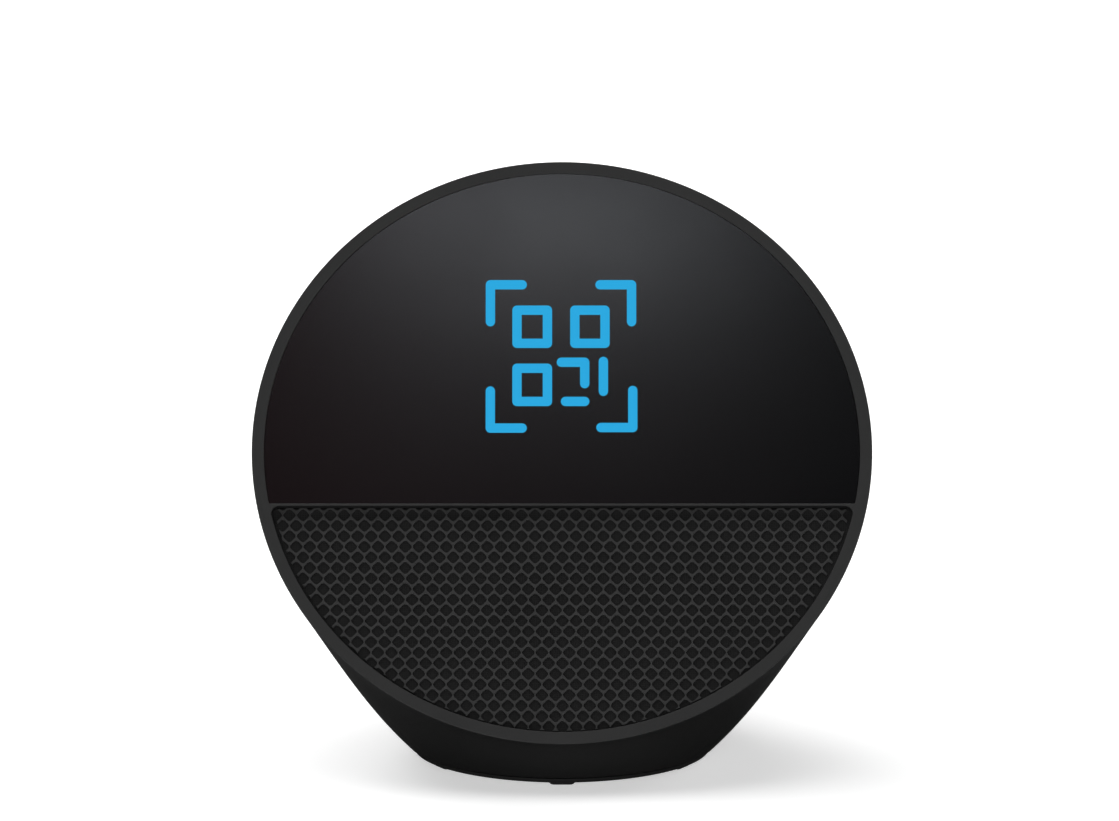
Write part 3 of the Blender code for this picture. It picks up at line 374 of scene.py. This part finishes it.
def piece(name, points, faces, matrix, material, body=ROOT, replaces=(), sharp=35.0):
    """A mesh piece from points in mm in a local frame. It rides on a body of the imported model.

    A face whose points are all at one height is shaded flat.
    """
    mesh = bpy.data.meshes.new(name)
    mesh.from_pydata([tuple((matrix @ Vector(point)) * MM) for point in points], [], faces)
    mesh.validate()
    mesh.materials.append(material)
    mesh.shade_smooth()
    mesh.set_sharp_from_angle(angle=radians(sharp))
    for polygon in mesh.polygons:
        heights = [points[corner][2] for corner in polygon.vertices]
        if max(heights) - min(heights) < 1e-6:
            polygon.use_smooth = False
    item = bpy.data.objects.new(name, mesh)
    bpy.context.scene.collection.objects.link(item)
    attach(item, body)
    if replaces:
        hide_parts(*replaces)
    return item


def ring_faces(rings, closed=False):
    """Faces between neighbouring rings of corners. A ring may be one corner repeated."""
    faces = []
    pairs = list(zip(rings, rings[1:]))
    if closed:
        pairs.append((rings[-1], rings[0]))
    for upper, lower in pairs:
        count = len(upper)
        for step in range(count):
            after = (step + 1) % count
            corners = [upper[step], lower[step], lower[after], upper[after]]
            face = [corner for index, corner in enumerate(corners) if corner not in corners[:index]]
            if len(face) > 2:
                faces.append(face)
    return faces


def numbered_rings(ring_count, length):
    return [list(range(ring * length, (ring + 1) * length)) for ring in range(ring_count)]


def revolved(profile, steps, closed=False):
    """Points and faces of a profile (radius, height) turned about Z. It runs down its outer side."""
    points, rings = [], []
    for radius, height in profile:
        if radius == 0:
            rings.append([len(points)] * steps)
            points.append((0, 0, height))
        else:
            rings.append([len(points) + step for step in range(steps)])
            points += [(x, y, height) for x, y in circle(radius, steps)]
    return points, ring_faces(rings, closed)


def arc(radius, start, end, count, x=0.0, y=0.0):
    angles = [start + (end - start) * step / count for step in range(count + 1)]
    return [(x + radius * cos(angle), y + radius * sin(angle)) for angle in angles]


def circle(radius, count, x=0.0, y=0.0):
    return arc(radius, 0, 2 * pi * (1 - 1 / count), count - 1, x, y)


def rounded_box(wide, tall, corner):
    outline = []
    for quarter in range(4):
        right = 1 if quarter in (0, 3) else -1
        top = 1 if quarter < 2 else -1
        outline += arc(corner, quarter * pi / 2, (quarter + 1) * pi / 2, 5, right * (wide / 2 - corner),
                       top * (tall / 2 - corner))
    return outline


def segment(radius, chord, corner, side, count=160):
    """Outline of the part of a disc above (side 1) or below (side -1) a chord, with round corners."""
    centre_y = chord + side * corner
    centre_x = sqrt((radius - corner) ** 2 - centre_y**2)
    rim_angle = atan2(side * centre_y, centre_x)
    outline = arc(corner, -pi / 2, rim_angle, 8, centre_x, side * centre_y)
    outline += arc(radius, rim_angle, pi - rim_angle, count)[1:-1]
    outline += arc(corner, pi - rim_angle, 3 * pi / 2, 8, -centre_x, side * centre_y)
    outline = [(x, side * y) for x, y in outline]
    return outline if side > 0 else outline[::-1]


ROUNDING = [(1.0, 0.0), (0.45, 0.12), (0.12, 0.45), (0.0, 1.0)]  # (inset, depth) down a rounded edge


def flat_shape(solids, holes, front, back, edge):
    """A plate between two heights: the solid outlines' union less the holes, with rounded front edges."""
    outlines = list(solids) + list(holes)
    flat, loops = [], []
    for outline in outlines:
        loops.append(list(range(len(flat), len(flat) + len(outline))))
        flat += [Vector(place) for place in outline]
    places, _, triangles, _, _, sources = delaunay_2d_cdt(flat, [], loops, 1, 1e-6, True)
    solid_count = len(solids)
    kept = [
        triangle for triangle, source in zip(triangles, sources)
        if source and min(source) < solid_count and max(source) < solid_count
    ]
    directed = {(a, b) for face in kept for a, b in zip(face, face[1:] + face[:1])}
    border = [(a, b) for a, b in directed if (b, a) not in directed]
    outward = {}
    for a, b in border:
        along = (places[b] - places[a]).normalized()
        side = Vector((along.y, -along.x))
        for end in (a, b):
            outward[end] = outward.get(end, Vector((0, 0))) + side
    used = sorted({corner for face in kept for corner in face})
    points, faces = [], []
    order = {}
    for corner in used:
        order[corner] = len(points)
        shift = outward[corner].normalized() * edge if corner in outward else Vector((0, 0))
        points.append((*(places[corner] - shift), front))
    faces += [[order[corner] for corner in face] for face in kept]
    rings = [{corner: order[corner] for corner in outward}]
    for inset, depth in ROUNDING[1:] if edge else []:
        level = {}
        for corner, side in outward.items():
            level[corner] = len(points)
            points.append((*(places[corner] - side.normalized() * edge * inset), front - edge * depth))
        rings.append(level)
    low = {}
    for corner in used:
        low[corner] = len(points)
        points.append((*places[corner], back))
    faces += [[low[corner] for corner in reversed(face)] for face in kept]
    rings.append(low)
    for upper, lower in zip(rings, rings[1:]):
        faces += [[upper[a], lower[a], lower[b], upper[b]] for a, b in border]
    return points, faces


def joined(solids):
    """Several solids' points and faces as one list of each."""
    points, faces = [], []
    for solid_points, solid_faces in solids:
        start = len(points)
        points += solid_points
        faces += [[start + corner for corner in face] for face in solid_faces]
    return points, faces


def carve(item, solids, sharp):
    """Cuts solids, in mm in the model's frame, out of a piece."""
    points, faces = joined(solids)
    mesh = bpy.data.meshes.new("cutter")
    mesh.from_pydata([tuple(Vector(point) * MM) for point in points], [], faces)
    tool = bpy.data.objects.new("cutter", mesh)
    bpy.context.scene.collection.objects.link(tool)
    opening = item.modifiers.new("openings", "BOOLEAN")
    opening.operation = "DIFFERENCE"
    opening.solver = "EXACT"
    opening.object = tool
    depsgraph = bpy.context.evaluated_depsgraph_get()
    finished = bpy.data.meshes.new_from_object(item.evaluated_get(depsgraph))
    material = item.data.materials[0]
    item.modifiers.clear()
    item.data = finished
    finished.name = item.name
    finished.materials.clear()
    finished.materials.append(material)
    finished.shade_smooth()
    finished.set_sharp_from_angle(angle=radians(sharp))
    bpy.data.objects.remove(tool, do_unlink=True)


# ---------------------------------------------------------------- housing

AROUND = 240
DOWN = 84
ALONG_FACE = FACE.to_3x3() @ Vector((0, 0, 1))


def face_depth(place):
    return (FACE.translation - place).dot(ALONG_FACE)


def turn_where(around, low, high, test):
    """The turn between low and high at which test stops being true."""
    for _ in range(36):
        middle = (low + high) / 2
        if test(skin_point(middle, around)):
            low = middle
        else:
            high = middle
    return low


def housing_mesh():
    """The wall between the face's rim and the base: outer skin, inner skin and rounded ends."""
    columns = []
    for step in range(AROUND):
        around = 2 * pi * step / AROUND
        first = turn_where(around, 0.0, 0.3, lambda place: face_depth(place) < HOUSING_FRONT)
        last = turn_where(around, 0.7, 1.0, lambda place: place.z > BODY_LOW_Z)
        outer, inner = [], []
        for row in range(DOWN + 1):
            share = row / DOWN
            turn = first + (last - first) * share
            place, normal = skin_point(turn, around), skin_normal(turn, around)
            thin = 1.3 if face_depth(place) < SLEEVE_DEPTH + 1.5 else WALL
            outer.append(place)
            inner.append(place - normal * thin)
        lead = (outer[1] - outer[0]).normalized()
        trail = (outer[-2] - outer[-1]).normalized()
        first_normal, last_normal = skin_normal(first, around), skin_normal(last, around)
        for at, along, normal in ((0, lead, first_normal), (-1, trail, last_normal)):
            corner = outer[at]
            rounded = [corner - normal * 0.14, corner - normal * 0.04 + along * 0.05, corner + along * 0.16]
            outer[at:at + 1 or None] = rounded if at == 0 else rounded[::-1]
        inner[0] = inner[0] - ALONG_FACE * (HOUSING_FRONT - face_depth(inner[0]))
        inner[-1].z = BODY_LOW_Z
        columns.append(outer + inner[::-1])
    points = [point for column in columns for point in column]
    return points, ring_faces(numbered_rings(AROUND, len(columns[0])), closed=True)


def skin_tree(rows=60):
    """The outer skin as a tree to cast rays on."""
    points = []
    for row in range(rows + 1):
        points += [skin_point(row / rows, 2 * pi * step / AROUND) for step in range(AROUND)]
    return BVHTree.FromPolygons(points, ring_faces(numbered_rings(rows + 1, AROUND)))


SKIN = skin_tree()
RAY_START = 5.0  # height over the surface from which it is measured


def skin_height(matrix, x, y):
    """Height of the body's surface over a local frame's XY plane."""
    origin = matrix @ Vector((x, y, RAY_START))
    direction = matrix.to_3x3() @ Vector((0, 0, -1))
    hit = SKIN.ray_cast(origin, direction)[0]
    return (matrix.inverted() @ hit).z


def hole_cutter(matrix, radius, depth, soften, steps=72):
    """Points and faces of a plug that follows the surface, so that the hole's edge is softened evenly."""
    top = 2.0
    bend = [(1.0, -0.6), (0.45, 0.12), (0.12, 0.45), (0.0, 1.0)]
    edge = [(radius + soften * out, -soften * fall) for out, fall in bend]
    points = []
    for reach, height in [(radius + 3 * soften, top), *edge, (radius, -depth)]:
        follows = -depth < height < top
        for x, y in circle(reach, steps):
            level = height + (skin_height(matrix, x, y) if follows else 0.0)
            points.append(tuple(matrix @ Vector((x, y, level))))
    rings = numbered_rings(len(edge) + 2, steps)
    return points, [*ring_faces(rings), rings[0], rings[-1][::-1]]


def housing():
    points, faces = housing_mesh()
    shell = piece("housing_shell", points, faces, Matrix.Identity(4), FINISHES["shell"],
                  replaces=["rear_housing"], sharp=40)
    plugs = [hole_cutter(matrix, BUTTON_R + GAP, 7.0, 0.25) for matrix in KEYS.values()]
    plugs += [hole_cutter(matrix, MIC_PORT_R, 4.0, 0.12, 32) for matrix in MIC_PORTS]
    plugs.append(hole_cutter(JACK, JACK_R + GAP, 6.0, 0.3))
    carve(shell, plugs, sharp=40)


# ---------------------------------------------------------------- the face

def rim():
    outline = circle(FACE_R, 256)
    openings = [segment(RIM_INNER_R, BAR_TOP, 0.35, 1), segment(RIM_INNER_R, BAR_BOTTOM, BAR_CORNER_R, -1)]
    points, faces = flat_shape([outline], openings, 0.0, -RIM_THICK, 0.07)
    piece("rim_ring", points, faces, FACE, FINISHES["rim"], replaces=["front_bezel"])
    under = -RIM_THICK - 0.01
    points, faces = revolved([(RIM_INNER_R, under), (SLEEVE_R, under), (SLEEVE_R, -SLEEVE_DEPTH),
                              (RIM_INNER_R, -SLEEVE_DEPTH)], 256, closed=True)
    piece("rim_sleeve", points, faces, FACE, FINISHES["black_plastic"])
    points, faces = flat_shape([circle(RIM_INNER_R - 0.02, 256)], openings, under, -BAR_BACK, 0.0)
    piece("bar_web", points, faces, FACE, FINISHES["black_plastic"])


def glass():
    outline = segment(GLASS_R, BAR_TOP + 0.02, 0.4, 1)
    points, faces = flat_shape([outline], [], -GLASS_FRONT, -GLASS_BACK, 0.03)
    piece("display_glass", points, faces, FACE, FINISHES["glass"], replaces=["cover_glass"])


PICTOGRAM_STRETCH = 1.0676  # the drawing is a little taller than wide on the tilted glass
PICTOGRAM_X = -0.055
PICTOGRAM_Y = -0.20
STROKE_R = 0.85
PICTOGRAM = [
    # corner brackets
    [(-13.0, 23.9), (-13.0, 30.65), (-7.2, 30.65)],
    [(7.0, 30.65), (12.75, 30.65), (12.75, 23.9)],
    [(-13.0, 11.25), (-13.0, 4.5), (-7.2, 4.5)],
    [(7.15, 4.6), (12.95, 4.6), (12.95, 11.35)],
    # three squares
    [(-8.15, 26.0), (-2.6, 26.0), (-2.6, 19.95), (-8.15, 19.95), (-8.15, 26.0)],
    [(2.4, 26.0), (7.9, 26.0), (7.9, 19.95), (2.4, 19.95), (2.4, 26.0)],
    [(-8.15, 15.4), (-2.6, 15.4), (-2.6, 9.35), (-8.15, 9.35), (-8.15, 15.4)],
    # short strokes
    [(-0.05, 16.5), (4.2, 16.5), (4.2, 12.6)],
    [(7.6, 16.65), (7.6, 11.2)],
    [(0.7, 9.35), (4.2, 9.35)],
]


def capsule(start, end, radius):
    """Outline of a straight stroke with round ends."""
    start, end = Vector(start), Vector(end)
    heading = atan2(end.y - start.y, end.x - start.x)
    outline = arc(radius, heading - pi / 2, heading + pi / 2, 12, end.x, end.y)
    return outline + arc(radius, heading + pi / 2, heading + 3 * pi / 2, 12, start.x, start.y)


def pictogram():
    strokes = []
    for path in PICTOGRAM:
        for start, end in zip(path, path[1:]):
            outline = capsule(start, end, STROKE_R)
            strokes.append([(x + PICTOGRAM_X, y * PICTOGRAM_STRETCH + PICTOGRAM_Y) for x, y in outline])
    points, faces = flat_shape(strokes, [], -GLASS_FRONT + 0.025, -GLASS_FRONT + 0.005, 0.0)
    piece("scan_pictogram", points, faces, FACE, GLOW)


def diamond(x, y):
    """Outline of one rounded diamond of the grille."""
    slope = atan2(HOLE_HALF_WIDE, HOLE_HALF_TALL)  # half the angle at its top
    top = HOLE_HALF_TALL - HOLE_CORNER / sin(slope)
    side = HOLE_HALF_WIDE - HOLE_CORNER / cos(slope)
    outline = []
    for centre, middle, half in (((side, 0), 0, slope), ((0, top), pi / 2, pi / 2 - slope),
                                 ((-side, 0), pi, slope), ((0, -top), 3 * pi / 2, pi / 2 - slope)):
        outline += arc(HOLE_CORNER, middle - half, middle + half, 5, x + centre[0], y + centre[1])
    return outline


def grille_holes():
    holes = []
    rows = ceil((GRILLE_R + FIRST_ROW) / ROW_STEP) + 1
    for row in range(-1, rows + 1):
        y = FIRST_ROW - row * ROW_STEP
        shift = PITCH / 2 * (row % 2)
        columns = ceil(GRILLE_R / PITCH) + 1
        for column in range(-columns, columns + 1):
            x = PATTERN_X + column * PITCH + shift
            if sqrt(x * x + y * y) < GRILLE_R + PITCH:
                holes.append(diamond(x, y))
    return holes


def grille():
    outline = segment(GRILLE_R, GRILLE_CHORD, GRILLE_CORNER, -1)
    points, faces = flat_shape([outline], grille_holes(), -GRILLE_FRONT, -GRILLE_BACK, 0.05)
    piece("pierced_grille", points, faces, FACE, FINISHES["grille"], replaces=["speaker_grille"],
          sharp=50)
    backing = segment(CLOTH_R, GRILLE_CHORD, GRILLE_CORNER, -1)
    points, faces = flat_shape([backing], [], -CLOTH_FRONT, -CLOTH_BACK, 0.05)
    piece("backing_cloth", points, faces, FACE, FINISHES["cloth"], replaces=["grille_cloth"])


# ---------------------------------------------------------------- keys

KEY_RISE = 0.5
KEY_ROUND = 0.45
COLLAR_R = 5.2
STEM_R = 1.5
STEM_END = -4.5


def key(name, matrix):
    """A key that follows the body's curve, stands a little proud of it and has a rounded edge."""
    steps, rings, bends = 96, 14, 6
    flat_r = BUTTON_R - KEY_ROUND
    crown = [(flat_r * share / rings, KEY_RISE) for share in range(rings + 1)]
    crown += [(flat_r + x, KEY_RISE - KEY_ROUND + y) for x, y in arc(KEY_ROUND, pi / 2, 0, bends)[1:]]
    collar, collar_low = -WALL - 0.9, -WALL - 1.7
    under = [(BUTTON_R, collar), (COLLAR_R, collar), (COLLAR_R, collar_low), (STEM_R, collar_low),
             (STEM_R, STEM_END), (0, STEM_END)]
    points, faces = revolved(crown + under, steps)
    crown_points = 1 + (len(crown) - 1) * steps
    points[:crown_points] = [(x, y, z + skin_height(matrix, x, y)) for x, y, z in points[:crown_points]]
    piece(f"key_{name}", points, faces, matrix, FINISHES["shell"], body=f"{name}_key",
          replaces=[f"button_{name}"], sharp=40)


MARK_R = 0.17
MARKS = {
    "volume_up": [[(-1.2, 0), (1.2, 0)], [(0, -1.2), (0, 1.2)]],
    "volume_down": [[(-1.2, 0), (1.2, 0)]],
    "mic_mute": [[(-1.15, -1.3), (1.15, 1.3)]],
}


def microphone_strokes():
    """A plain microphone: capsule, cradle and stand, as strokes."""
    cradle = arc(0.85, pi, 2 * pi, 10, 0, 0.15)
    strokes = [capsule(start, end, MARK_R) for start, end in zip(cradle, cradle[1:])]
    strokes.append(capsule((0, -0.7), (0, -1.15), MARK_R))
    strokes.append(capsule((-0.45, -1.2), (0.45, -1.2), MARK_R))
    strokes.append(capsule((0, 0.15), (0, 0.95), 0.42))
    return strokes


def marks():
    for name, matrix in KEYS.items():
        strokes = [capsule(start, end, MARK_R) for path in MARKS[name] for start, end in zip(path, path[1:])]
        if name == "mic_mute":
            strokes += microphone_strokes()
        top = skin_height(matrix, 0, 0) + KEY_RISE
        points, faces = flat_shape(strokes, [], top + 0.10, top - 0.15, 0.04)
        piece(f"mark_{name}", points, faces, matrix, FINISHES["rim"], body=f"{name}_key")


# ---------------------------------------------------------------- power inlet and base

def power_inlet():
    mouth, bore_end, back_end = -1.2, -10.8, -13.0
    flange_r, flange_top, flange_low = 7.0, -WALL - 1.0, -WALL - 2.0
    profile = [
        (0, bore_end), (JACK_BORE_R, bore_end), (JACK_BORE_R, mouth - 0.55),
        (JACK_BORE_R + 0.12, mouth - 0.25), (JACK_BORE_R + 0.42, mouth - 0.05), (JACK_BORE_R + 0.7, mouth),
        (JACK_R - 0.25, mouth), (JACK_R - 0.07, mouth - 0.07), (JACK_R, mouth - 0.25), (JACK_R, flange_top),
        (flange_r, flange_top), (flange_r, flange_low), (JACK_R, flange_low), (JACK_R, back_end),
        (0, back_end),
    ]
    points, faces = revolved(profile, 72)
    piece("power_jack", points, faces, JACK, FINISHES["black_plastic"], replaces=["dc_jack"])
    pin_r, pin_end = 0.85, -10.5
    tip = [(0, -2.55), (0.3, -2.6), (0.6, -2.8), (0.78, -3.1), (pin_r, -3.5), (pin_r, pin_end), (0, pin_end)]
    points, faces = revolved(tip, 32)
    piece("jack_pin", points, faces, JACK, FINISHES["steel"], replaces=["dc_jack_pin"])


def base():
    groove_in, groove_out, groove_top = 22.3, 26.0, 1.1
    spigot_r, lip = 23.5, 1.5
    recess_r, recess = 9.0, PLATE_LOW + 0.25
    dimple_r, dimple = 1.5, PLATE_LOW + 0.5
    ease = 0.08
    profile = [
        (0, PLATE_HIGH), (spigot_r, PLATE_HIGH), (spigot_r, lip), (PLATE_R - 0.1, lip), (PLATE_R, lip - ease),
        (PLATE_R, PLATE_LOW + 0.3), (PLATE_R - 0.12, PLATE_LOW + 0.11), (PLATE_R - 0.5, PLATE_LOW),
        (groove_out + ease, PLATE_LOW), (groove_out, PLATE_LOW + ease), (groove_out, groove_top),
        (groove_in, groove_top), (groove_in, PLATE_LOW + ease), (groove_in - ease, PLATE_LOW),
        (recess_r + 0.1, PLATE_LOW), (recess_r, PLATE_LOW + ease), (recess_r, recess),
        (dimple_r + 0.1, recess), (dimple_r, recess + 0.07), (dimple_r, dimple), (0, dimple),
    ]
    points, faces = revolved(profile, 144)
    disc = piece("base_disc", points, faces, BASE, FINISHES["black_plastic"],
                 replaces=["base_plate"])
    sinks = []
    bore_r, sink_r, seat = 1.4, 3.0, 2.1
    over, under = 6.0, -1.0
    profile = [(0, over), (bore_r, over), (bore_r, seat), (sink_r, seat), (sink_r, PLATE_LOW + 0.15),
               (sink_r + 0.2, PLATE_LOW - 0.05), (sink_r + 0.2, under), (0, under)]
    for number in range(SCREW_COUNT):
        angle = -pi / 6 + number * 2 * pi / SCREW_COUNT
        x, y = SCREW_REACH * cos(angle), BASE_Y + SCREW_REACH * sin(angle)
        points, faces = revolved(profile, 48)
        sinks.append(([(px + x, py + y, pz) for px, py, pz in points], faces))
    carve(disc, sinks, sharp=35)


def feet():
    """Rubber ring in the base's groove with its six pads."""
    ring = [(22.5, 0.85), (22.6, 0.95), (25.7, 0.95), (25.8, 0.85), (25.8, 0.5), (25.72, 0.42), (25.6, 0.4),
            (22.7, 0.4), (22.58, 0.42), (22.5, 0.5)]
    points, faces = revolved(ring, 144, closed=True)
    for number in range(FOOT_COUNT):
        turn = Matrix.Rotation(-pi / 2 + number * 2 * pi / FOOT_COUNT, 3, "Z")
        levels = [(1.4, 2.42, 0.6), (1.4, 2.42, 0.45), (1.35, 2.25, 0.22), (1.3, 2.0, 0.05), (1.22, 1.8, 0.0)]
        rows = []
        for half_x, half_y, height in levels:
            outline = rounded_box(2 * half_x, 2 * half_y, 0.45)
            rows.append([len(points) + index for index in range(len(outline))])
            points += [tuple(turn @ Vector((FOOT_REACH + x, y, height))) for x, y in outline]
        faces += [rows[0], *ring_faces(rows), rows[-1][::-1]]
    piece("rubber_feet", points, faces, BASE, FINISHES["rubber"], replaces=["foot_ring"])


# ---------------------------------------------------------------- floor, lights and camera

TARGET = Vector((-0.00045, -0.01339, 0.06409))
CAMERA_RISE = radians(13.2)
LENS = 800.0
SENSOR = 36.0
FRAME_WIDE = 203.70 * MM


def floor_finish():
    """Pale floor that glows a little, as a light table does, and lets a view from below through."""
    material = finish("floor", 0.80, 0.83, (0.8, 0.9), 40.0, 0.0, Specular_IOR_Level=0.1,
                      Emission_Color=(1.0, 1.0, 1.0, 1.0), Emission_Strength=0.52)
    tree = material.node_tree
    side = add_node(tree, "ShaderNodeNewGeometry")
    clear = add_node(tree, "ShaderNodeBsdfTransparent")
    mix = add_node(tree, "ShaderNodeMixShader")
    dim = add_node(tree, "ShaderNodeBsdfDiffuse", color=(0.2, 0.2, 0.2, 1.0))
    path = add_node(tree, "ShaderNodeLightPath")
    mirrored = add_node(tree, "ShaderNodeMixShader")
    tree.links.new(path.outputs["Is Glossy Ray"], mirrored.inputs["Fac"])
    tree.links.new(tree.nodes["Principled BSDF"].outputs["BSDF"], mirrored.inputs[1])
    tree.links.new(dim.outputs["BSDF"], mirrored.inputs[2])
    tree.links.new(side.outputs["Backfacing"], mix.inputs["Fac"])
    tree.links.new(mirrored.outputs["Shader"], mix.inputs[1])
    tree.links.new(clear.outputs["BSDF"], mix.inputs[2])
    tree.links.new(mix.outputs["Shader"], tree.nodes["Material Output"].inputs["Surface"])
    return material


def floor():
    points, faces = revolved([(3000.0, 0.0), (0, 0.0)], 64)
    mesh = bpy.data.meshes.new("floor")
    mesh.from_pydata([tuple(Vector(point) * MM) for point in points], [], [face[::-1] for face in faces])
    mesh.materials.append(floor_finish())
    item = bpy.data.objects.new("floor", mesh)
    bpy.context.scene.collection.objects.link(item)


def add_light(name, kind, energy, location, toward, colour=(1, 1, 1), **settings):
    light = bpy.data.lights.new(name, kind)
    light.energy = energy
    light.color = colour
    for key, value in settings.items():
        setattr(light, key, value)
    item = bpy.data.objects.new(name, light)
    item.location = location
    item.rotation_euler = (Vector(location) - Vector(toward)).to_track_quat("Z", "Y").to_euler()
    item.visible_camera = False
    bpy.context.scene.collection.objects.link(item)
    return item


def lights():
    add_light("soft_sun", "SUN", 1.7, (-0.12, 0.22, 1.0), (0, 0, 0), angle=radians(60))
    mirror = Vector((0, -cos(2 * FACE_LEAN - CAMERA_RISE), sin(2 * FACE_LEAN - CAMERA_RISE)))
    aim = (FACE @ Vector((-3.2, 54.8, 0.0))) * MM
    add_light("window_glow", "AREA", 0.031, aim + mirror * 0.90, aim, (0.89, 0.94, 1.0), shape="ELLIPSE",
              size=0.097, size_y=0.016)
    add_light("front_fill", "SUN", 1.0, (-0.1, -1.0, 0.20), (0, 0, 0), angle=radians(25))
    middle = (0, 0, 0.05)
    add_light("back_left", "AREA", 5.0, (-0.45, 0.70, 0.45), middle, shape="RECTANGLE", size=0.5, size_y=0.5)
    add_light("back_right", "AREA", 2.0, (0.70, 0.45, 0.30), middle, shape="RECTANGLE", size=0.4, size_y=0.5)
    world = bpy.data.worlds.new("studio")
    world.use_nodes = True
    bpy.context.scene.world = world
    tree = world.node_tree
    soft = tree.nodes["Background"]
    soft.inputs["Color"].default_value = (1.0, 1.0, 1.0, 1.0)
    soft.inputs["Strength"].default_value = 0.04
    backdrop = add_node(tree, "ShaderNodeBackground")
    backdrop.inputs["Color"].default_value = (1.0, 1.0, 1.0, 1.0)
    seen = add_node(tree, "ShaderNodeLightPath")
    mix = add_node(tree, "ShaderNodeMixShader")
    tree.links.new(seen.outputs["Is Camera Ray"], mix.inputs["Fac"])
    tree.links.new(soft.outputs["Background"], mix.inputs[1])
    tree.links.new(backdrop.outputs["Background"], mix.inputs[2])
    tree.links.new(mix.outputs["Shader"], tree.nodes["World Output"].inputs["Surface"])
    bpy.context.scene.view_settings.view_transform = "Standard"


def camera():
    data = bpy.data.cameras.new("studio_camera")
    data.sensor_width = SENSOR
    data.lens = LENS
    item = bpy.data.objects.new("studio_camera", data)
    back = Vector((0, -cos(CAMERA_RISE), sin(CAMERA_RISE)))
    item.location = TARGET + back * (FRAME_WIDE * LENS / SENSOR)
    item.rotation_mode = "QUATERNION"
    item.rotation_quaternion = back.to_track_quat("Z", "Y")
    bpy.context.scene.collection.objects.link(item)
    bpy.context.scene.camera = item


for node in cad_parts.values():
    node.data.materials[0] = FINISHES[node.data.materials[0].name]

housing()
rim()
glass()
pictogram()
grille()
for key_name, key_matrix in KEYS.items():
    key(key_name, key_matrix)
marks()
power_inlet()
base()
feet()
floor()
lights()
camera()
